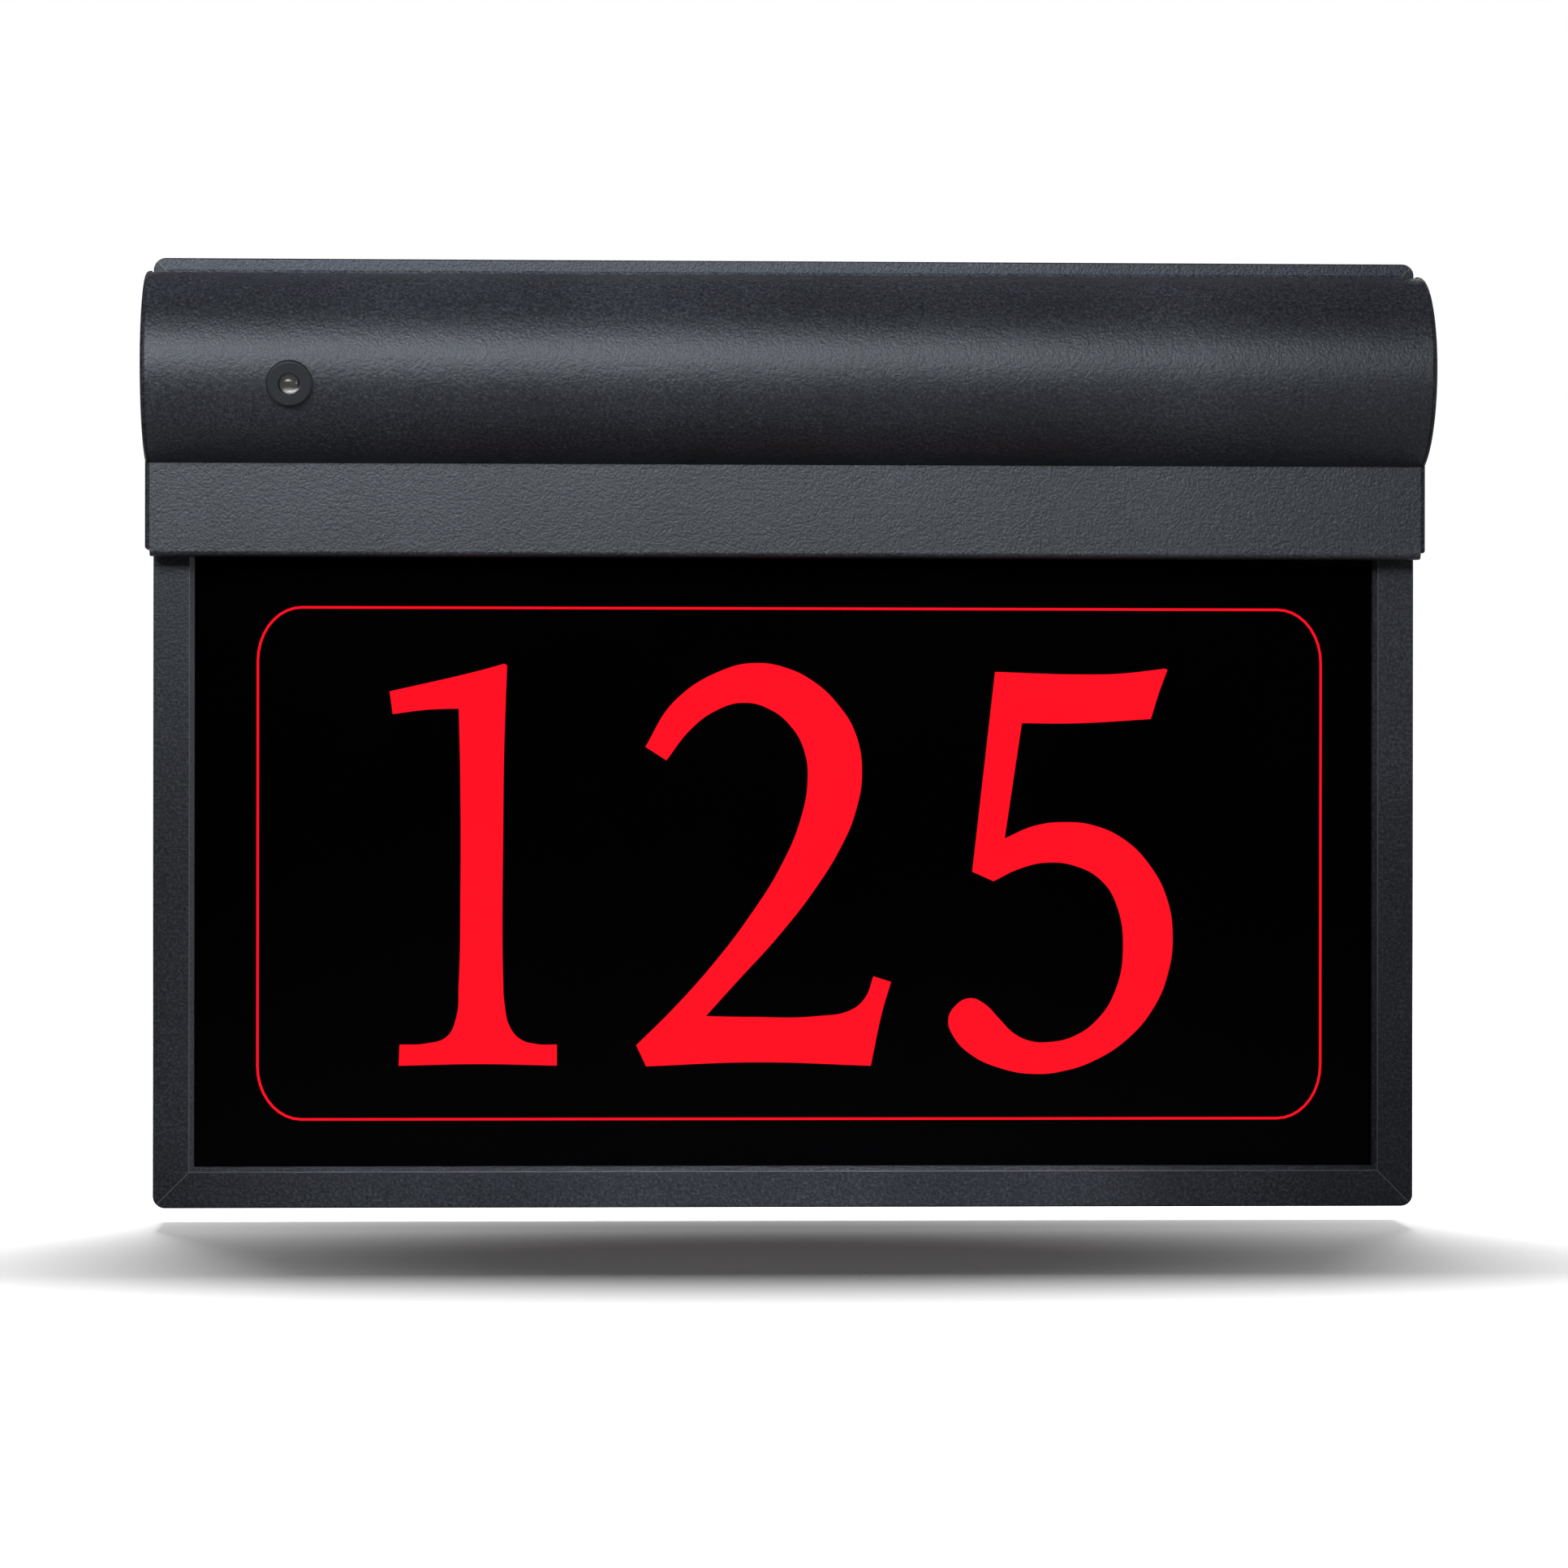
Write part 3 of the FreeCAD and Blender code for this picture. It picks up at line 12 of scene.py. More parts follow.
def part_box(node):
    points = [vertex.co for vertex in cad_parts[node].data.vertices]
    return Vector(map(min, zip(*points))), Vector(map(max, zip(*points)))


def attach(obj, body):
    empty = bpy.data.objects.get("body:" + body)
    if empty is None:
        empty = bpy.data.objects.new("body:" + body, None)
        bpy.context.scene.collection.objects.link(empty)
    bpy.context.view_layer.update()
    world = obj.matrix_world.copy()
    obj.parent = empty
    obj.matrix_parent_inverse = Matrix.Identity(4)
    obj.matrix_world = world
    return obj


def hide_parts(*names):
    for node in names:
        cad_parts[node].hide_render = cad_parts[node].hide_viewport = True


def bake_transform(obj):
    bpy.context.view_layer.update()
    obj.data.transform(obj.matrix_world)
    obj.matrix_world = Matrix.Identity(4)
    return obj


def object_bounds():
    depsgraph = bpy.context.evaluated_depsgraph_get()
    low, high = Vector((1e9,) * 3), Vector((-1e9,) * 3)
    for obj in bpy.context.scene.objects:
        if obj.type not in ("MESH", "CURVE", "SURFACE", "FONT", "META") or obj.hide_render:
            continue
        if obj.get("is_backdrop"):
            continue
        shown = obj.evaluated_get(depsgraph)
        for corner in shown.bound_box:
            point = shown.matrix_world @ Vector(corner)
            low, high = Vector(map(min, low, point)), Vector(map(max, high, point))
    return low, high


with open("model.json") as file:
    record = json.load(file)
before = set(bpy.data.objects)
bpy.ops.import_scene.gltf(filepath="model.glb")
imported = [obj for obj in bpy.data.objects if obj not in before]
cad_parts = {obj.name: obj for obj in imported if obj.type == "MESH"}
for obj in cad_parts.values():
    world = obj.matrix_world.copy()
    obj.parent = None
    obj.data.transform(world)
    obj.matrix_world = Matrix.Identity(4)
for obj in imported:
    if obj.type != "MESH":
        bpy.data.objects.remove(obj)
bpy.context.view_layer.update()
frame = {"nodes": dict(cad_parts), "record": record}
NODES = frame["nodes"]
MM = 0.001

# --- Sizes ----------------------------------------------------------------------------------------

# Number mask, in millimetres on the face of the panel, its corners sampled every ten degrees
BORDER_LEFT = -132.2
BORDER_RIGHT = 135.2
BORDER_TOP = 31.6
BORDER_BOTTOM = -96.6
BORDER_WIDTH = 0.64
BORDER_RADIUS_X = 11.0
BORDER_RADIUS_Z = 13.4
BORDER_CORNER_STEP = 10
MASK_CURVE_STEPS = 10
ROUND, SHARP = "AUTO", "VECTOR"

# Outlines of the three numerals, as (x, z, kind of point)
NUMERAL_ONE = [
    (-99.3, 10.6, SHARP), (-98.5, 4.9, SHARP), (-90.0, 6.0, ROUND), (-82.0, 6.3, SHARP),
    (-81.6, -9.7, ROUND), (-81.5, -40.5, ROUND), (-81.9, -62.6, ROUND), (-82.7, -71.8, ROUND),
    (-85.0, -76.0, ROUND), (-90.0, -77.6, ROUND), (-96.7, -77.9, SHARP), (-96.9, -83.2, SHARP),
    (-76.8, -82.8, ROUND), (-57.3, -83.2, SHARP), (-57.3, -77.9, SHARP), (-62.2, -77.8, ROUND),
    (-66.5, -76.5, ROUND), (-69.1, -73.4, ROUND), (-70.4, -67.9, ROUND), (-70.8, -61.0, ROUND),
    (-70.8, -21.5, ROUND), (-70.6, -4.4, ROUND), (-69.9, 17.2, SHARP), (-70.6, 17.6, SHARP),
    (-77.0, 15.8, ROUND),
]
NUMERAL_TWO = [
    (-35.2, -3.2, SHARP), (-28.1, 8.1, ROUND), (-15.1, 16.4, ROUND), (-7.2, 17.9, ROUND),
    (0.2, 16.7, ROUND), (7.2, 13.2, ROUND), (13.1, 7.7, ROUND), (17.6, 0.4, ROUND),
    (19.3, -9.8, ROUND), (17.6, -19.8, ROUND), (14.2, -28.0, ROUND), (7.3, -39.2, ROUND),
    (-2.1, -51.2, ROUND), (-12.5, -62.6, ROUND), (-19.9, -70.8, SHARP), (-9.0, -71.0, ROUND),
    (8.1, -70.8, ROUND), (16.7, -69.2, ROUND), (20.2, -66.1, ROUND), (22.2, -60.8, SHARP),
    (26.7, -62.2, SHARP), (24.5, -69.6, ROUND), (21.6, -83.3, SHARP), (-7.4, -82.4, ROUND),
    (-34.9, -83.4, SHARP), (-37.4, -78.1, SHARP), (-28.0, -68.8, ROUND), (-17.6, -57.1, ROUND),
    (-9.1, -45.9, ROUND), (-1.3, -33.5, ROUND), (3.8, -21.5, ROUND), (5.6, -11.4, ROUND),
    (4.8, -4.3, ROUND), (1.7, 1.6, ROUND), (-4.0, 6.3, ROUND), (-10.8, 7.9, ROUND),
    (-17.7, 5.8, ROUND), (-23.8, 1.2, ROUND), (-29.9, -6.6, SHARP),
]
NUMERAL_FIVE = [
    (52.8, 15.8, SHARP), (74.3, 15.2, ROUND), (84.2, 15.4, ROUND), (95.8, 16.7, SHARP),
    (96.4, 16.4, SHARP), (94.4, 11.0, ROUND), (92.2, 4.0, SHARP), (73.5, 2.9, ROUND),
    (59.6, 2.9, SHARP), (55.3, -26.1, SHARP), (62.9, -22.9, ROUND), (70.7, -22.0, ROUND),
    (78.1, -22.9, ROUND), (85.7, -26.5, ROUND), (91.8, -32.6, ROUND), (96.2, -40.8, ROUND),
    (97.8, -50.8, ROUND), (96.6, -60.2, ROUND), (93.1, -68.6, ROUND), (86.5, -76.5, ROUND),
    (78.1, -82.0, ROUND), (70.5, -84.6, ROUND), (63.0, -85.4, ROUND), (54.8, -84.1, ROUND),
    (46.4, -80.2, ROUND), (42.3, -75.7, ROUND), (41.1, -71.8, ROUND), (42.9, -68.2, ROUND),
    (46.6, -66.3, ROUND), (50.2, -67.7, ROUND), (53.9, -71.4, ROUND), (57.6, -75.1, ROUND),
    (61.5, -77.0, ROUND), (66.0, -77.4, ROUND), (72.8, -75.9, ROUND), (78.9, -71.5, ROUND),
    (83.2, -64.6, ROUND), (85.2, -54.2, ROUND), (83.4, -42.4, ROUND), (79.7, -36.7, ROUND),
    (73.6, -33.2, ROUND), (66.0, -32.2, ROUND), (59.2, -33.7, ROUND), (52.5, -36.9, SHARP),
    (47.1, -34.5, SHARP),
]

# Sensor lead: a flat twin lead through these points, from the driver to the sensor's board
LEAD_CORE = 0.6 * MM
LEAD_WAIST = 0.35 * MM
LEAD_SIDES = 24
LEAD_CURVE_STEPS = 12
SENSOR_LEAD_ROUTE = [
    (-56.0, -13.0, 85.0), (-68.0, -13.0, 85.0), (-82.0, -15.5, 73.5), (-98.0, -15.0, 68.0),
    (-116.0, -17.3, 63.9), (-132.0, -19.8, 66.4), (-133.0, -21.3, 81.4), (-119.0, -26.1, 90.3),
    (-119.0, -40.31, 87.39),
]

# Cross recess of the screws, as shares of the radius of the head's flat
RECESS_REACH = 0.62
RECESS_HALF_WIDTH = 0.17
RECESS_DEPTH = 0.5
RECESS_TAPER = 0.62

# Turned screws: sides of a ring, least angle of an edge that stays sharp, step that profiles are rounded to,
# and decimals of a metre at which two corners are one
SCREW_SIDES = 48
SHARP_EDGE = 30
PROFILE_STEP = 0.05 * MM
SAME_PLACE_DIGITS = 7
RECESSED_SCREWS = [
    ("back_panel_screws", "stainless_steel"), ("end_cap_screws", "dark_screw"),
    ("channel_screws", "stainless_steel"), ("clip_screws", "stainless_steel"),
    ("driver_screws", "stainless_steel"), ("terminal_mount_screw", "stainless_steel"),
    ("sensor_board_screws", "stainless_steel"),
]

# Frame: half width and half height of the edge where the rails' faces turn into the chamfer. The mitres run
# through its corners at 45 degrees, so along them the distance across from the middle, less the distance up,
# is the half width less the half height.
CHAMFER_SIDE = 149.0 * MM
CHAMFER_TOP = 109.5 * MM
SEAM_HALF_WIDTH = 0.12 * MM
SEAM_COLOUR = (0.13, 0.13, 0.13, 1.0)
# Painted highlight: a lighter line along the outer edge of the rails' chamfer
CHAMFER_HIGHLIGHT_COLOUR = (0.08, 0.085, 0.096, 1.0)

# Tints of the coats' gloss: a cool colour of light painted into their reflections in place of cool lamps,
# the bluer one for the top rail
COOL_LIGHT_TINT = (0.86, 0.93, 1.0, 1.0)
BLUE_LIGHT_TINT = (0.75, 0.82, 1.0, 1.0)


# --- Shader helpers -------------------------------------------------------------------------------

def node(tree, kind, **values):
    """New shader node with the given settings."""
    made = tree.nodes.new(kind)
    for name, value in values.items():
        setattr(made, name, value)
    return made


def object_place(tree):
    """Coordinates of the object."""
    return node(tree, "ShaderNodeTexCoord").outputs["Object"]


def stretched(tree, place, scale):
    """Coordinates stretched along the axes, for streaks."""
    mapping = node(tree, "ShaderNodeMapping")
    mapping.inputs["Scale"].default_value = scale
    tree.links.new(place, mapping.inputs["Vector"])
    return mapping.outputs["Vector"]


def grain(tree, place, size, detail=2.0, roughness=0.5, distortion=0.0):
    """Noise whose blotches are about the given size in metres."""
    noise = node(tree, "ShaderNodeTexNoise")
    noise.inputs["Scale"].default_value = 1.0 / size
    noise.inputs["Detail"].default_value = detail
    noise.inputs["Roughness"].default_value = roughness
    noise.inputs["Distortion"].default_value = distortion
    tree.links.new(place, noise.inputs["Vector"])
    return noise.outputs["Fac"]


def cells(tree, place, size):
    """Rounded cells of about the given size in metres."""
    voronoi = node(tree, "ShaderNodeTexVoronoi", feature="SMOOTH_F1")
    voronoi.inputs["Scale"].default_value = 1.0 / size
    tree.links.new(place, voronoi.inputs["Vector"])
    return voronoi.outputs["Distance"]


def shades(tree, factor, stops):
    """Colour ramp through (position, colour) stops."""
    ramp = node(tree, "ShaderNodeValToRGB")
    elements = ramp.color_ramp.elements
    while len(elements) < len(stops):
        elements.new(0.5)
    for element, (position, colour) in zip(elements, stops):
        element.position = position
        element.color = (*colour, 1.0)
    tree.links.new(factor, ramp.inputs["Fac"])
    return ramp.outputs["Color"]


def maths(tree, operation, first, second=None, third=None):
    """Result of a maths node whose terms are outputs or plain numbers."""
    made = node(tree, "ShaderNodeMath", operation=operation)
    for socket, term in zip(made.inputs, (first, second, third)):
        if isinstance(term, (int, float)):
            socket.default_value = term
        elif term is not None:
            tree.links.new(term, socket)
    return made.outputs["Value"]


def sum_of(tree, first, second, weight):
    """First plus the weighted second."""
    return maths(tree, "MULTIPLY_ADD", second, weight, first)


def span_of(tree, factor, low, high, from_low=0.3, from_high=0.7, interpolation="LINEAR"):
    """Factor stretched to a span of values."""
    made = node(tree, "ShaderNodeMapRange", interpolation_type=interpolation)
    made.inputs["From Min"].default_value = from_low
    made.inputs["From Max"].default_value = from_high
    made.inputs["To Min"].default_value = low
    made.inputs["To Max"].default_value = high
    tree.links.new(factor, made.inputs["Value"])
    return made.outputs["Result"]


def parts_of(tree, place):
    """X, Y and Z of a place."""
    parts = node(tree, "ShaderNodeSeparateXYZ")
    tree.links.new(place, parts.inputs["Vector"])
    return parts.outputs


def relief(tree, height, depth, below=None):
    """Bump of the given depth in metres, over another one if it is given."""
    made = node(tree, "ShaderNodeBump")
    made.inputs["Distance"].default_value = depth
    tree.links.new(height, made.inputs["Height"])
    if below is not None:
        tree.links.new(below, made.inputs["Normal"])
    return made.outputs["Normal"]


def finish(name, **sockets):
    """New material with one glossy surface shader; the values are set on its own sockets."""
    material = bpy.data.materials.new(name)
    material.use_nodes = True
    tree = material.node_tree
    shader = tree.nodes["Principled BSDF"]
    for socket, value in sockets.items():
        shader.inputs[socket.replace("_", " ")].default_value = value
    return material, tree, shader


def wire(tree, shader, **links):
    """Link outputs to the shader's sockets of these names."""
    for socket, output in links.items():
        tree.links.new(output, shader.inputs[socket.replace("_", " ")])


# --- Finishes -------------------------------------------------------------------------------------

def frame_lines(tree, place):
    """Two masks: one that is 1 on the seams where two rails meet, and one that is 1 on the edge of the
    chamfer, where a painted highlight goes. With the mitre's difference added to the distance up, both
    distances from the middle are equal on the seams, and the larger one is the chamfer's half width on its
    edge and more than it outside the edge."""
    x, _, z = parts_of(tree, place)
    across = maths(tree, "ABSOLUTE", x)
    level_up = maths(tree, "ADD", maths(tree, "ABSOLUTE", z), CHAMFER_SIDE - CHAMFER_TOP)
    further = maths(tree, "MAXIMUM", across, level_up)
    seam = maths(tree, "COMPARE", across, level_up, SEAM_HALF_WIDTH)
    outside = maths(tree, "GREATER_THAN", further, CHAMFER_SIDE)
    edge = maths(tree, "COMPARE", further, CHAMFER_SIDE, SEAM_HALF_WIDTH)
    return maths(tree, "MULTIPLY", seam, outside), edge


def laid_over(tree, below, colour, mask):
    """Colour laid over another where the mask is 1."""
    made = node(tree, "ShaderNodeMix", data_type="RGBA")
    tree.links.new(mask, made.inputs["Factor"])
    tree.links.new(below, made.inputs["A"])
    made.inputs["B"].default_value = colour
    return made.outputs["Result"]


def powder_coat(name, with_mitres=False, gloss=0.68, depth=0.175 * MM, tint=COOL_LIGHT_TINT):
    """Fine textured charcoal powder coat: sandy grain over a soft orange peel, uneven gloss."""
    # The gloss tint paints a cool colour of light into the coat's reflections
    material, tree, shader = finish(name, Specular_IOR_Level=gloss, Specular_Tint=tint)
    place = object_place(tree)
    sand = grain(tree, place, 0.7 * MM, detail=3.0, roughness=0.6, distortion=0.1)
    peel = grain(tree, place, 1.7 * MM, detail=2.0)
    cloud = grain(tree, place, 55 * MM, detail=3.0)
    speckle = sum_of(tree, sand, cloud, 0.35)
    colour = shades(tree, speckle, [(0.45, (0.008, 0.009, 0.012)), (0.68, (0.021, 0.023, 0.029)),
                                    (0.9, (0.050, 0.054, 0.065))])
    if with_mitres:
        seam, edge = frame_lines(tree, place)
        # A painted highlight, a lighter line, goes on the chamfer's edge; the seams get their own colour
        colour = laid_over(tree, laid_over(tree, colour, CHAMFER_HIGHLIGHT_COLOUR, edge), SEAM_COLOUR, seam)
    height = sum_of(tree, sand, peel, 0.5)
    wire(tree, shader, Base_Color=colour, Roughness=span_of(tree, sand, 0.36, 0.48),
         Normal=relief(tree, height, depth))
    return material


def rolled_metal(name, colour, roughness, streak=(1.0, 12.0, 12.0)):
    """Mill finish: long faint streaks, and a little dullness in patches."""
    material, tree, shader = finish(name, Metallic=1.0)
    place = object_place(tree)
    lines = grain(tree, stretched(tree, place, streak), 9 * MM, detail=4.0, roughness=0.65)
    patches = grain(tree, place, 30 * MM, detail=2.0)
    tone = sum_of(tree, lines, patches, 0.4)
    dark = tuple(c * 0.82 for c in colour)
    wire(tree, shader, Base_Color=shades(tree, tone, [(0.5, dark), (0.85, colour)]),
         Roughness=span_of(tree, tone, roughness + 0.08, roughness - 0.06, 0.5, 0.9),
         Normal=relief(tree, lines, 0.012 * MM))
    return material


def moulded(name, colour, roughness, texture=0.35 * MM, depth=0.02 * MM, spread=0.12, **sockets):
    """Moulded or extruded plastic and rubber: fine even texture with a slight change of tone."""
    material, tree, shader = finish(name, **sockets)
    place = object_place(tree)
    fine = grain(tree, place, texture, detail=2.0)
    patches = grain(tree, place, 18 * MM, detail=2.0)
    low = tuple(c * (1 - spread) for c in colour)
    high = tuple(min(1.0, c * (1 + spread)) for c in colour)
    wire(tree, shader, Base_Color=shades(tree, patches, [(0.35, low), (0.65, high)]),
         Roughness=span_of(tree, fine, roughness - 0.05, roughness + 0.05),
         Normal=relief(tree, fine, depth))
    return material


def black_foam():
    """Closed-cell foam: matt, with small open cells on its skin."""
    material, tree, shader = finish("black_foam", Specular_IOR_Level=0.2)
    place = object_place(tree)
    pores = cells(tree, place, 0.5 * MM)
    colour = shades(tree, pores, [(0.1, (0.008, 0.008, 0.009)), (0.7, (0.03, 0.03, 0.032))])
    wire(tree, shader, Base_Color=colour, Roughness=span_of(tree, pores, 0.9, 1.0),
         Normal=relief(tree, pores, 0.1 * MM))
    return material


def mask_black():
    """Black film of the mask: even, smooth and only slightly glossy."""
    material, tree, shader = finish("mask_black", Specular_IOR_Level=0.05)
    place = object_place(tree)
    haze = grain(tree, place, 45 * MM, detail=3.0)
    colour = shades(tree, haze, [(0.3, (0.0003, 0.0003, 0.0006)), (0.7, (0.0005, 0.0005, 0.0008))])
    wire(tree, shader, Base_Color=colour, Roughness=span_of(tree, haze, 0.12, 0.16),
         Normal=relief(tree, haze, 0.01 * MM))
    return material


def glowing_red():
    """Translucent red acrylic, lit evenly from its edge, its glow a trace weaker in soft random clouds."""
    material, tree, shader = finish("glowing_red", Roughness=0.12, Specular_IOR_Level=0.08,
                                    Emission_Strength=1.0)
    place = object_place(tree)
    clouds = grain(tree, place, 70 * MM, detail=2.0)
    wire(tree, shader,
         Base_Color=shades(tree, clouds, [(0.3, (0.10, 0.0004, 0.001)), (0.7, (0.12, 0.0006, 0.0014))]),
         Emission_Color=shades(tree, clouds, [(0.3, (0.975, 0.0055, 0.0165)), (0.7, (1.0, 0.006, 0.018))]))
    return material


def clear_plastic(name, tint, roughness, ior, clearness=1.0):
    """Clear moulding with a faint haze and flow lines."""
    material, tree, shader = finish(name, Transmission_Weight=clearness, IOR=ior)
    place = object_place(tree)
    flow = grain(tree, place, 6 * MM, detail=2.0)
    low = tuple(c * 0.96 for c in tint)
    wire(tree, shader, Base_Color=shades(tree, flow, [(0.35, low), (0.65, tint)]),
         Roughness=span_of(tree, flow, roughness, roughness + 0.03), Normal=relief(tree, flow, 0.004 * MM))
    return material


def board_green():
    """Solder resist over copper tracks: the tracks run along the board and stand a little proud."""
    material, tree, shader = finish("board_green", Specular_IOR_Level=0.55)
    place = object_place(tree)
    tracks = node(tree, "ShaderNodeTexBrick", offset=0.37, squash=1.0)
    tracks.inputs["Scale"].default_value = 1.0
    tracks.inputs["Brick Width"].default_value = 11 * MM
    tracks.inputs["Row Height"].default_value = 1.1 * MM
    tracks.inputs["Mortar Size"].default_value = 0.16 * MM
    tracks.inputs["Mortar Smooth"].default_value = 0.3
    tracks.inputs["Color1"].default_value = (0.012, 0.15, 0.06, 1.0)
    tracks.inputs["Color2"].default_value = (0.014, 0.17, 0.07, 1.0)
    tracks.inputs["Mortar"].default_value = (0.006, 0.075, 0.03, 1.0)
    tree.links.new(place, tracks.inputs["Vector"])
    fine = grain(tree, place, 1.5 * MM)
    wire(tree, shader, Base_Color=tracks.outputs["Color"], Roughness=span_of(tree, fine, 0.3, 0.42),
         Normal=relief(tree, tracks.outputs["Fac"], -0.03 * MM))
    return material


def lamp_yellow():
    """Phosphor windows of the lit packages."""
    material, tree, shader = finish("lamp_yellow", Roughness=0.4, Emission_Strength=1.0)
    place = object_place(tree)
    fine = grain(tree, place, 0.6 * MM)
    wire(tree, shader, Base_Color=shades(tree, fine, [(0.3, (0.9, 0.78, 0.4)), (0.7, (0.95, 0.87, 0.55))]),
         Emission_Color=shades(tree, fine, [(0.3, (0.95, 0.86, 0.66)), (0.7, (1.0, 0.94, 0.78))]))
    return material


def dress_nodes():
    """Every node of the model gets its finish."""
    coat = powder_coat("charcoal_coat")
    # Lit and shaded copies of the one coat: the top rail's keeps its gloss with a bluer tint so it renders
    # lighter, and the other rails' and the end caps' have less gloss so they render darker; the caps'
    # dullness is painted shade on their rims
    lit_top_rail_coat = powder_coat("charcoal_coat_lit_top_rail", with_mitres=True, gloss=0.7, tint=BLUE_LIGHT_TINT)
    shaded_rail_coat = powder_coat("charcoal_coat_shaded_rails", with_mitres=True, gloss=0.4, depth=0.12 * MM)
    shaded_cap_coat = powder_coat("charcoal_coat_shaded_caps", gloss=0.1)
    aluminium = rolled_metal("mill_aluminium", (0.72, 0.73, 0.74), 0.42)
    stainless = rolled_metal("satin_stainless", (0.62, 0.62, 0.61), 0.3, (3.0, 3.0, 3.0))
    spring = rolled_metal("spring_steel", (0.5, 0.51, 0.53), 0.28, (8.0, 1.0, 1.0))
    blackened = rolled_metal("blackened_screw", (0.09, 0.09, 0.1), 0.42, (3.0, 3.0, 3.0))
    brass = rolled_metal("brass", (0.78, 0.6, 0.3), 0.3, (3.0, 3.0, 3.0))
    # The rubber's gloss tint paints the same cool colour of light into its reflections
    rubber = moulded("black_rubber", (0.018, 0.0195, 0.023), 0.55, 0.5 * MM, 0.03 * MM,
                     Specular_IOR_Level=0.4, Specular_Tint=COOL_LIGHT_TINT)
    dark_plastic = moulded("driver_plastic", (0.05, 0.05, 0.054), 0.6, 0.6 * MM, 0.05 * MM)
    pale_plastic = moulded("terminal_plastic", (0.8, 0.79, 0.75), 0.42, 0.8 * MM, 0.02 * MM, 0.03)
    sheath = moulded("lead_sheath", (0.045, 0.045, 0.05), 0.45, 1.2 * MM, 0.02 * MM)
    opal = moulded("opal_acrylic", (0.9, 0.9, 0.89), 0.3, 1.5 * MM, 0.01 * MM, 0.02)
    reflector = moulded("white_reflector", (0.88, 0.88, 0.88), 0.75, 0.4 * MM, 0.02 * MM, 0.02)
    light_guide = clear_plastic("light_guide_acrylic", (0.95, 0.97, 0.97), 0.03, 1.49)
    lens = clear_plastic("sensor_lens_plastic", (0.96, 0.96, 0.96), 0.02, 1.58, 0.98)
    cell = rolled_metal("sensor_metal", (0.27, 0.262, 0.27), 0.3, (3.0, 3.0, 3.0))
    by_slot = {
        "textured_coat": coat, "bare_aluminium": aluminium, "stainless_steel": stainless,
        "spring_steel": spring, "dark_screw": blackened, "brass_screw": brass, "black_foam": black_foam(),
        "black_rubber": rubber, "black_mask": mask_black(), "red_acrylic": glowing_red(),
        "opal_acrylic": opal, "clear_acrylic": light_guide, "white_reflector": reflector,
        "circuit_board": board_green(), "led_package": lamp_yellow(), "driver_plastic": dark_plastic,
        "terminal_plastic": pale_plastic, "lead_sheath": sheath, "clear_lens": lens, "sensor_metal": cell,
    }
    for row in frame["record"]["subparts"]:
        material = by_slot[row["material_slot"]]
        # The top rail, the other rails and the end caps take the lit and shaded copies of the coat
        if row["node"] == "frame_top_rail":
            material = lit_top_rail_coat
        elif row["node"].startswith("frame_"):
            material = shaded_rail_coat
        elif row["node"].endswith("_end_cap"):
            material = shaded_cap_coat
        give(NODES[row["node"]], material)
    return by_slot


def give(piece, material):
    """The material takes every slot of the piece."""
    slots = piece.data.materials
    slots.clear()
    slots.append(material)


# --- Pieces ---------------------------------------------------------------------------------------

def new_piece(name, points, faces, body, material, smooth=True):
    """Piece from points in metres and faces, riding on a body if one is given."""
    mesh = bpy.data.meshes.new(name)
    mesh.from_pydata(np.asarray(points).tolist(), [], faces)
    mesh.polygons.foreach_set("use_smooth", np.full(len(mesh.polygons), smooth))
    mesh.update()
    piece = bpy.data.objects.new(name, mesh)
    bpy.context.scene.collection.objects.link(piece)
    give(piece, material)
    if body:
        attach(piece, body)
    return piece


def rounded_frame_outline(left, right, bottom, top, radius_x, radius_z):
    """Points round a rectangle with elliptical corners: each corner is a quarter ellipse sampled by angle,
    its middle plus the radii times cosine and sine, and straight lines join the points."""
    turn = np.radians(np.arange(0, 91, BORDER_CORNER_STEP))
    corners = [(right - radius_x, top - radius_z, 0), (left + radius_x, top - radius_z, 90),
               (left + radius_x, bottom + radius_z, 180), (right - radius_x, bottom + radius_z, 270)]
    rows = []
    for x, z, start in corners:
        angle = turn + math.radians(start)
        rows.append(np.stack([x + radius_x * np.cos(angle), z + radius_z * np.sin(angle)], axis=1))
    return [(x, z, SHARP) for x, z in np.concatenate(rows)]


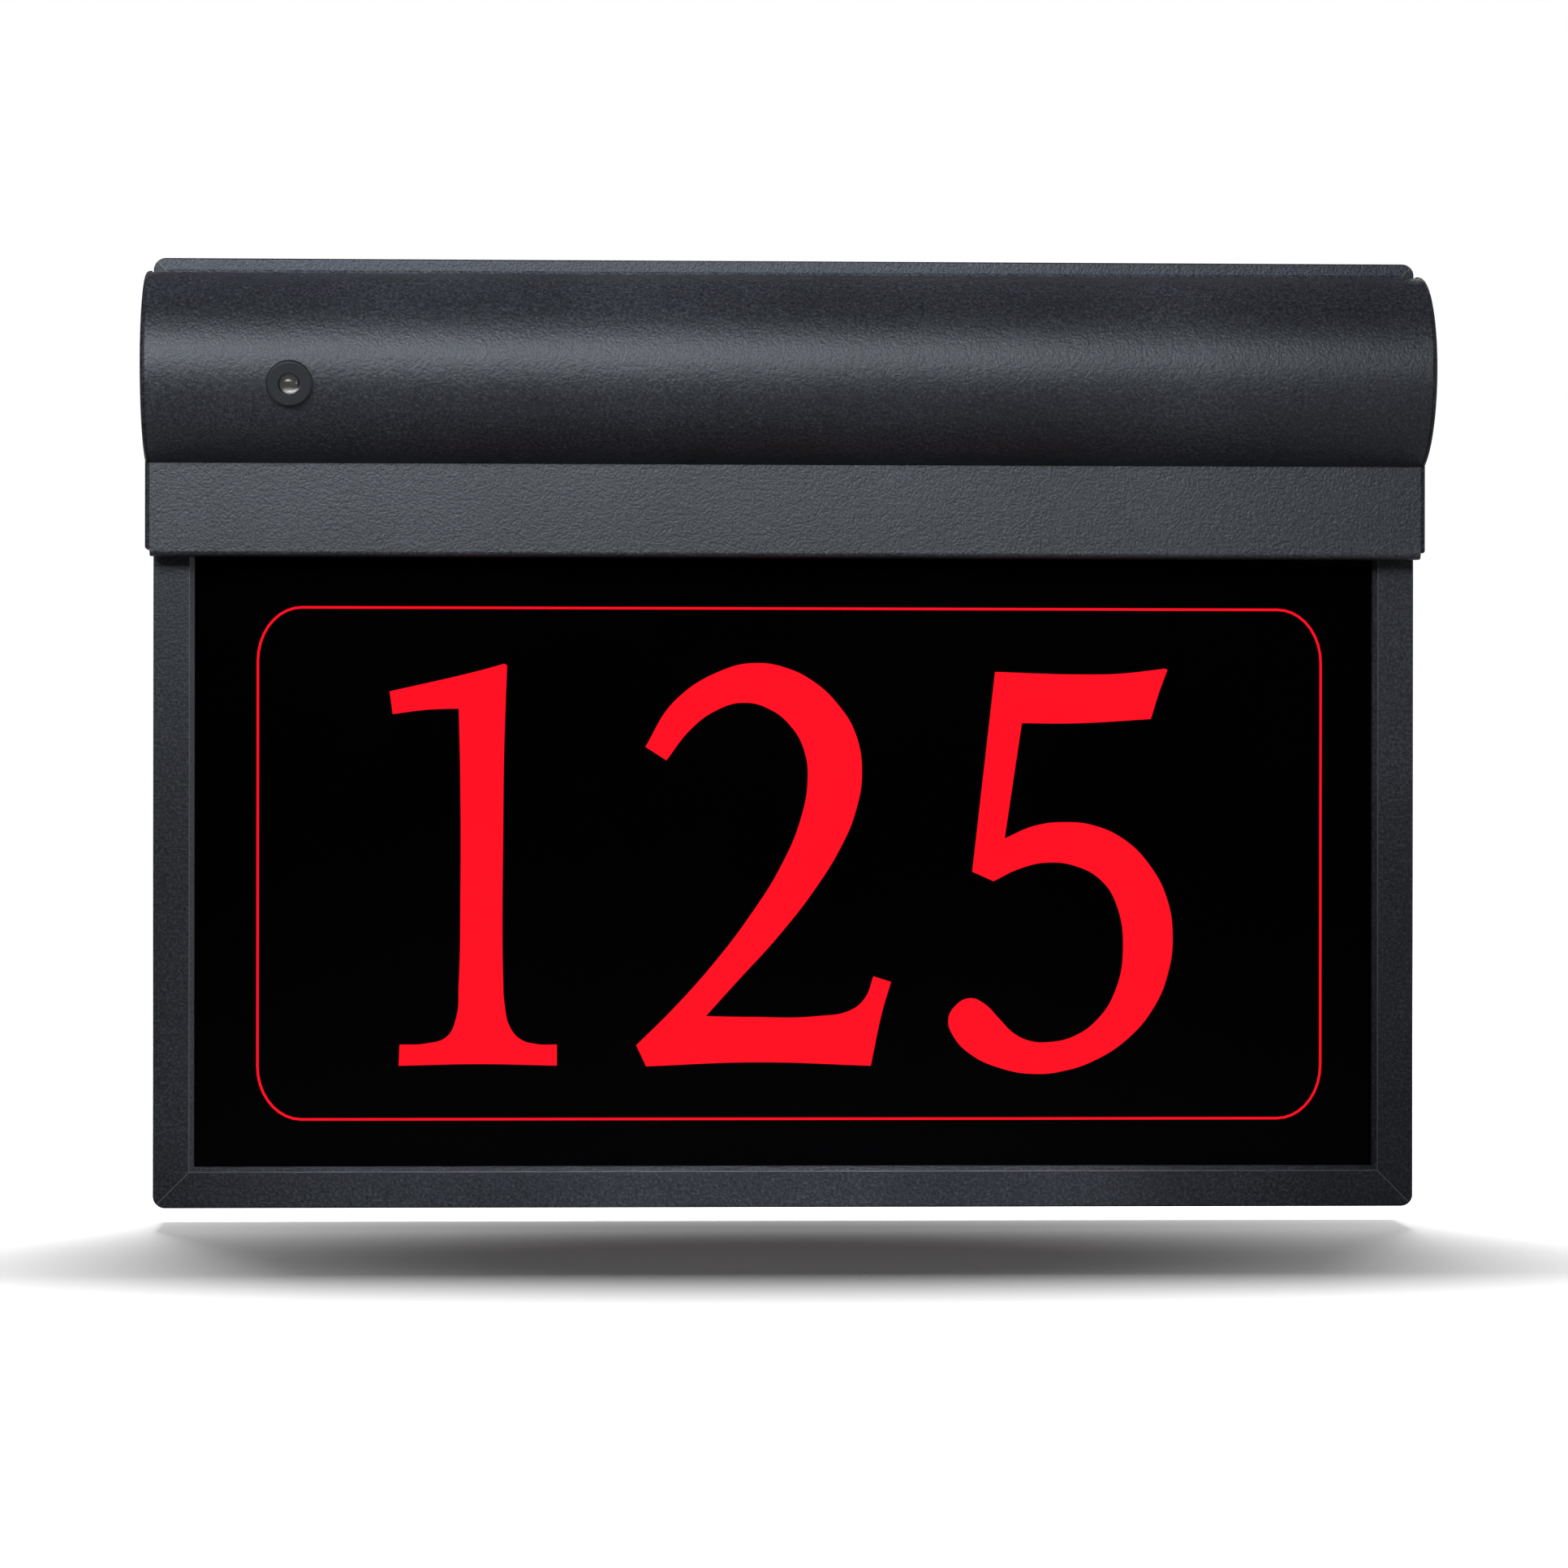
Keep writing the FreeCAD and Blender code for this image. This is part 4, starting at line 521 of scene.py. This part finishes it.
def number_mask(material):
    """Film with the numerals and the border line cut out: a flat outline with holes, filled by the rule that
    every further outline inside another one changes film to hole and back, then given its thickness."""
    low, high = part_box("mask_film")
    corners = ((low.x, low.z), (high.x, low.z), (high.x, high.z), (low.x, high.z))
    outlines = [[(x / MM, z / MM, SHARP) for x, z in corners]]
    for grow in (BORDER_WIDTH / 2, -BORDER_WIDTH / 2):
        outlines.append(rounded_frame_outline(
            BORDER_LEFT - grow, BORDER_RIGHT + grow, BORDER_BOTTOM - grow, BORDER_TOP + grow,
            BORDER_RADIUS_X + grow, BORDER_RADIUS_Z + grow))
    outlines += [NUMERAL_ONE, NUMERAL_TWO, NUMERAL_FIVE]
    curve = bpy.data.curves.new("number_mask_outline", "CURVE")
    curve.dimensions = "2D"
    curve.fill_mode = "BOTH"
    curve.resolution_u = MASK_CURVE_STEPS
    curve.extrude = (high.y - low.y) / 2
    for outline in outlines:
        spline = curve.splines.new("BEZIER")
        spline.bezier_points.add(len(outline) - 1)
        spline.use_cyclic_u = True
        for point, (x, z, kind) in zip(spline.bezier_points, outline):
            point.co = (x * MM, z * MM, 0)
            point.handle_left_type = kind
            point.handle_right_type = kind
    drawn = bpy.data.objects.new("number_mask_drawn", curve)
    bpy.context.scene.collection.objects.link(drawn)
    bpy.context.view_layer.update()
    flat = bpy.data.meshes.new_from_object(drawn.evaluated_get(bpy.context.evaluated_depsgraph_get()))
    points = np.empty(len(flat.vertices) * 3)
    flat.vertices.foreach_get("co", points)
    across, up, depth = points.reshape(-1, 3).T
    middle = (low.y + high.y) / 2
    placed = np.stack([across, middle - depth, up], axis=1)
    faces = [list(polygon.vertices) for polygon in flat.polygons]
    bpy.data.objects.remove(drawn)
    piece = new_piece("number_mask", placed, faces, "sign_box", material, smooth=False)
    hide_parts("mask_film")


def smooth_path(route):
    """Points of the smooth spline that has the route's points as its control points."""
    curve = bpy.data.curves.new("route", "CURVE")
    curve.dimensions = "3D"
    curve.resolution_u = LEAD_CURVE_STEPS
    spline = curve.splines.new("NURBS")
    spline.points.add(len(route) - 1)
    for point, place in zip(spline.points, route):
        point.co = (*(c * MM for c in place), 1.0)
    spline.order_u = 3
    spline.use_endpoint_u = True
    drawn = bpy.data.objects.new("route_drawn", curve)
    bpy.context.scene.collection.objects.link(drawn)
    bpy.context.view_layer.update()
    line = bpy.data.meshes.new_from_object(drawn.evaluated_get(bpy.context.evaluated_depsgraph_get()))
    points = np.empty(len(line.vertices) * 3)
    line.vertices.foreach_get("co", points)
    bpy.data.objects.remove(drawn)
    return points.reshape(-1, 3)


def grid_faces(rows, columns):
    """Quads between rings of points; each ring closes on itself."""
    row, column = np.meshgrid(np.arange(rows - 1), np.arange(columns), indexing="ij")
    after = (column + 1) % columns
    return np.stack([row * columns + column, row * columns + after, (row + 1) * columns + after,
                     (row + 1) * columns + column], axis=-1).reshape(-1, 4)


def separate_solids(piece):
    """Corner points of each solid in a mesh of loose triangles: corners at one place are one point, and
    triangles that share a point belong to one solid."""
    mesh = piece.data
    points = np.empty(len(mesh.vertices) * 3)
    mesh.vertices.foreach_get("co", points)
    corners = np.empty(len(mesh.loops), dtype=int)
    mesh.loops.foreach_get("vertex_index", corners)
    points, shared = np.unique(points.reshape(-1, 3).round(SAME_PLACE_DIGITS), axis=0,
                               return_inverse=True)
    triangles = shared.reshape(-1)[corners].reshape(-1, 3)
    label = np.arange(len(points))
    while True:
        lowest = label.copy()
        np.minimum.at(lowest, triangles, label[triangles].min(axis=1)[:, None])
        if np.array_equal(lowest, label):
            return [points[label == value] for value in np.unique(label)]
        label = lowest


def screw_line(points):
    """Head end, direction to the tip and profile of a turned solid: its axis is the lone one of its three
    main directions, and the profile is each corner's distance along the axis and away from it."""
    spread, directions = np.linalg.eigh(np.cov(points.T))
    turned = points @ directions
    middle = directions @ ((turned.min(axis=0) + turned.max(axis=0)) / 2)
    axis = directions[:, 2] if spread[2] - spread[1] > spread[1] - spread[0] else directions[:, 0]
    along = (points - middle) @ axis
    away = np.linalg.norm(points - middle - along[:, None] * axis, axis=1)
    if away[along > along.max() - PROFILE_STEP].max() > away[along < along.min() + PROFILE_STEP].max():
        axis, along = -axis, -along
    head = middle + along.min() * axis
    steps = np.unique((np.stack([along - along.min(), -away], axis=1) / PROFILE_STEP).round(), axis=0)
    return head, axis, steps * (PROFILE_STEP, -PROFILE_STEP)


def recessed_screws(name, material):
    """Screws with a cross recess in place of a group of plain ones. Each is turned from the plain one's
    profile. The rim of the recess is a ring whose radius by angle is the nearer of the arm's end, reach over
    cosine, and its side, half width over sine, and its floor is the same ring made smaller."""
    angle = np.linspace(0, 2 * math.pi, SCREW_SIDES, endpoint=False)
    from_arm = np.abs((angle + math.pi / 4) % (math.pi / 2) - math.pi / 4)
    sine = np.maximum(np.sin(from_arm), 1e-6)
    cross = np.minimum(RECESS_REACH / np.cos(from_arm), RECESS_HALF_WIDTH / sine)
    points, faces = [], []
    for solid in separate_solids(NODES[name]):
        head, axis, profile = screw_line(solid)
        flat = profile[0, 1]
        side = np.cross(axis, (0.0, 0.6, 0.8) if abs(axis[0]) > 0.5 else (1.0, 0.0, 0.0))
        side /= np.linalg.norm(side)
        radii = [cross * RECESS_TAPER * flat, cross * flat]
        depths = [RECESS_DEPTH * flat, 0.0]
        for depth, radius in profile:
            radii.append(np.full(SCREW_SIDES, radius))
            depths.append(depth)
        rings = np.cos(angle)[:, None] * side + np.sin(angle)[:, None] * np.cross(axis, side)
        rings = np.array(radii)[:, :, None] * rings + (np.array(depths)[:, None] * axis)[:, None, :] + head
        start = sum(len(block) for block in points)
        points.append(rings.reshape(-1, 3))
        faces += (grid_faces(len(radii), SCREW_SIDES) + start).tolist()
        faces.append([start + turn for turn in range(SCREW_SIDES)][::-1])
        last = start + (len(radii) - 1) * SCREW_SIDES
        faces.append([last + turn for turn in range(SCREW_SIDES)])
    body = next(body for body, names in frame["record"]["behaviour"]["bodies"].items() if name in names)
    piece = new_piece("recessed_" + name, np.concatenate(points), faces, body, material)
    shape = bmesh.new()
    shape.from_mesh(piece.data)
    bmesh.ops.recalc_face_normals(shape, faces=shape.faces)
    shape.to_mesh(piece.data)
    shape.free()
    piece.data.set_sharp_from_angle(angle=math.radians(SHARP_EDGE))
    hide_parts(name)


def sensor_lead(material):
    """Twin lead: at each point of its path a ring about the path, whose radius by angle is
    sqrt((2 core cos a)^2 + waist^2), which is two round cores side by side with a waist between."""
    path = smooth_path(SENSOR_LEAD_ROUTE)
    along = np.gradient(path, axis=0)
    along /= np.linalg.norm(along, axis=1, keepdims=True)
    reference = np.array([0.0, -1.0, 1.0]) / math.sqrt(2)
    side = np.cross(along, reference)
    side /= np.linalg.norm(side, axis=1, keepdims=True)
    upward = np.cross(side, along)
    angle = np.linspace(0, 2 * math.pi, LEAD_SIDES, endpoint=False)
    radius = np.sqrt((2 * LEAD_CORE * np.cos(angle)) ** 2 + LEAD_WAIST ** 2)
    ring = side[:, None, :] * (radius * np.cos(angle))[None, :, None]
    ring = ring + upward[:, None, :] * (radius * np.sin(angle))[None, :, None]
    points = (path[:, None, :] + ring).reshape(-1, 3)
    count = len(path)
    faces = grid_faces(count, LEAD_SIDES).tolist()
    faces.append(list(range(LEAD_SIDES))[::-1])
    faces.append(list(range((count - 1) * LEAD_SIDES, count * LEAD_SIDES)))
    piece = new_piece("sensor_twin_lead", points, faces, None, material)
    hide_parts("sensor_lead")
    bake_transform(piece)


# --- Studio ---------------------------------------------------------------------------------------

CAMERA_PLACE = Vector((-0.0624, -1.226, -0.0115))
CAMERA_YAW = 2.108
CAMERA_PITCH = 0.042
CAMERA_ROLL = 0.075
CAMERA_LENS = 110.15
CAMERA_SHIFT = (0.045, -0.0048)
SENSOR_WIDTH = 36.0

# Floor and room. The floor's glow fades out round the shadow's place and paints the shadow's soft elliptical
# edge; that place and the glow's reach are in metres on the floor; across, they are stretched.
WHITE = (1.0, 1.0, 1.0, 1.0)
FLOOR_DROP = 0.0055
FLOOR_HALF = 4.0
FLOOR_GREY = (0.98, 0.98, 0.98, 1.0)
FLOOR_BOUNCE = (0.3, 0.3, 0.3, 1.0)
SHADOW_MIDDLE = (-0.003, -0.1, 0.0)
SHADOW_STRETCH = (0.52, 1.0, 0.0)
SHADOW_REACH = (0.03, 0.2)
BEHIND = (0.25, 0.5)
BACKDROP_EDGE = (0.8, 0.97)
ROOM_LEVEL = 0.1
FRONT_GLOSS_LEVEL = 0.021


def camera():
    """Camera at the photo's viewpoint: yaw to the right, pitch up and roll, in degrees."""
    yaw, pitch, roll = (math.radians(a) for a in (CAMERA_YAW, CAMERA_PITCH, CAMERA_ROLL))
    ahead = Vector((math.sin(yaw) * math.cos(pitch), math.cos(yaw) * math.cos(pitch), math.sin(pitch)))
    level = Vector((math.cos(yaw), -math.sin(yaw), 0))
    above = level.cross(ahead)
    right = level * math.cos(roll) + above * math.sin(roll)
    up = above * math.cos(roll) - level * math.sin(roll)
    data = bpy.data.cameras.new("camera")
    data.lens = CAMERA_LENS
    data.sensor_fit = "HORIZONTAL"
    data.sensor_width = SENSOR_WIDTH
    data.shift_x, data.shift_y = CAMERA_SHIFT
    data.clip_start = 0.01
    holder = bpy.data.objects.new("camera", data)
    bpy.context.scene.collection.objects.link(holder)
    columns = Matrix((right, up, -ahead)).transposed().to_4x4()
    holder.matrix_world = Matrix.Translation(CAMERA_PLACE) @ columns
    bpy.context.scene.camera = holder


def keep_light_off(emitter, shaded):
    """The emitter's light leaves out one object."""
    left_out = bpy.data.collections.new(f"kept_from_{emitter.name}")
    left_out.objects.link(shaded)
    left_out.collection_objects[0].light_linking.link_state = "EXCLUDE"
    emitter.light_linking.receiver_collection = left_out


def area_light(name, place, target, size, power, spread=180, in_gloss=True, keep_off=None):
    """Soft rectangular lamp of a width and height in metres, aimed at a target, with its power in watts and
    the spread of its light in degrees. It leaves out the object that it is kept off."""
    data = bpy.data.lights.new(name, "AREA")
    data.shape = "RECTANGLE"
    data.size, data.size_y = size
    data.energy = power
    data.spread = math.radians(spread)
    lamp = bpy.data.objects.new(name, data)
    lamp.location = place
    lamp.rotation_euler = (Vector(target) - Vector(place)).to_track_quat("-Z", "Y").to_euler()
    lamp.visible_camera = False
    lamp.visible_glossy = in_gloss
    if keep_off is not None:
        keep_light_off(lamp, keep_off)
    bpy.context.scene.collection.objects.link(lamp)


def seen_ray(tree):
    """1 for a ray from the camera, off gloss or through glass, and 1 for one from the camera alone."""
    path = node(tree, "ShaderNodeLightPath").outputs
    direct = maths(tree, "MAXIMUM", path["Is Camera Ray"], path["Is Glossy Ray"])
    return maths(tree, "MAXIMUM", direct, path["Is Transmission Ray"]), path["Is Camera Ray"]


def room():
    """Even room light. What shows the background is white behind and beside the sign and dim in front."""
    world = bpy.data.worlds.new("room")
    bpy.context.scene.world = world
    world.use_nodes = True
    tree = world.node_tree
    background = tree.nodes["Background"]
    background.inputs["Color"].default_value = WHITE
    seen, from_camera = seen_ray(tree)
    ahead = parts_of(tree, node(tree, "ShaderNodeTexCoord").outputs["Generated"])["Y"]
    behind = span_of(tree, ahead, FRONT_GLOSS_LEVEL, 1.0, *BACKDROP_EDGE, interpolation="SMOOTHSTEP")
    level = node(tree, "ShaderNodeMix", data_type="FLOAT")
    level.inputs["A"].default_value = ROOM_LEVEL
    tree.links.new(seen, level.inputs["Factor"])
    tree.links.new(maths(tree, "MAXIMUM", behind, from_camera), level.inputs["B"])
    tree.links.new(level.outputs["Result"], background.inputs["Strength"])


def floor_material():
    """Matt floor, lifted to plain white by a glow that fades out towards the shadow's middle, and clear from
    below. The fading glow paints the soft elliptical edge of the shadow, whose dark core the lamps cast.
    Rays that come off the sign meet a darker floor, and its glow only behind the sign."""
    material = bpy.data.materials.new("pale_floor")
    material.use_nodes = True
    tree = material.node_tree
    tree.nodes.remove(tree.nodes["Principled BSDF"])
    seen, from_camera = seen_ray(tree)
    matt = node(tree, "ShaderNodeBsdfDiffuse")
    tone = node(tree, "ShaderNodeMix", data_type="RGBA")
    tone.inputs["A"].default_value = FLOOR_BOUNCE
    tone.inputs["B"].default_value = FLOOR_GREY
    tree.links.new(from_camera, tone.inputs["Factor"])
    tree.links.new(tone.outputs["Result"], matt.inputs["Color"])
    distance = node(tree, "ShaderNodeVectorMath", operation="DISTANCE")
    tree.links.new(stretched(tree, object_place(tree), SHADOW_STRETCH), distance.inputs[0])
    distance.inputs[1].default_value = SHADOW_MIDDLE
    # Painted shadow: the glow is weakest at the shadow's middle and fades in with distance from it, which
    # paints the shadow's soft edge
    away = span_of(tree, distance.outputs["Value"], 0.0, 1.0, *SHADOW_REACH, interpolation="SMOOTHSTEP")
    depth = parts_of(tree, object_place(tree))["Y"]
    behind = span_of(tree, depth, 0.0, 1.0, *BEHIND, interpolation="SMOOTHSTEP")
    shown = maths(tree, "MULTIPLY", maths(tree, "MAXIMUM", behind, from_camera), seen)
    glow = node(tree, "ShaderNodeEmission")
    tree.links.new(maths(tree, "MULTIPLY", away, shown), glow.inputs["Strength"])
    both = node(tree, "ShaderNodeAddShader")
    tree.links.new(matt.outputs[0], both.inputs[0])
    tree.links.new(glow.outputs[0], both.inputs[1])
    from_above = node(tree, "ShaderNodeMixShader")
    tree.links.new(node(tree, "ShaderNodeNewGeometry").outputs["Backfacing"], from_above.inputs[0])
    tree.links.new(both.outputs[0], from_above.inputs[1])
    tree.links.new(node(tree, "ShaderNodeBsdfTransparent").outputs[0], from_above.inputs[2])
    tree.links.new(from_above.outputs[0], tree.nodes["Material Output"].inputs["Surface"])
    return material


def floor():
    """Pale floor just under the sign."""
    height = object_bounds()[0][2] - FLOOR_DROP
    corners = [(x * FLOOR_HALF, y * FLOOR_HALF, height) for x, y in ((-1, -1), (1, -1), (1, 1), (-1, 1))]
    mesh = bpy.data.meshes.new("floor")
    mesh.from_pydata(corners, [], [(0, 1, 2, 3)])
    plane = bpy.data.objects.new("floor", mesh)
    bpy.context.scene.collection.objects.link(plane)
    give(plane, floor_material())
    plane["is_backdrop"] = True
    return plane


def studio():
    """Camera, room, floor and lamps."""
    camera()
    room()
    ground = floor()
    keep_light_off(NODES["number_panel"], ground)
    middle = (0.0, 0.0, 0.0)
    area_light("front_softbox", (-0.12, -0.38, 0.208), (-0.03, -0.04, 0.1), size=(0.55, 0.14), power=0.53,
               spread=90, keep_off=ground)
    area_light("low_softbox", (-0.03, -0.4, 0.26), (-0.02, -0.04, -0.115), size=(0.22, 0.04), power=0.09,
               spread=18, keep_off=ground)
    area_light("side_softbox", (0.95, -0.18, 0.05), middle, size=(0.4, 0.6), power=3.0, keep_off=ground)
    area_light("top_softbox", (0.0, 0.62, 1.3), middle, size=(0.9, 0.4), power=25.0, in_gloss=False)
    area_light("rear_softbox", (0.6, 1.5, 0.5), middle, size=(1.0, 0.8), power=6.0, keep_off=ground)
    bpy.context.scene.view_settings.view_transform = "Standard"


def main():
    """Dress the model, add the finer pieces and set up the studio."""
    by_slot = dress_nodes()
    number_mask(by_slot["black_mask"])
    sensor_lead(by_slot["lead_sheath"])
    for name, slot in RECESSED_SCREWS:
        recessed_screws(name, by_slot[slot])
    studio()


main()
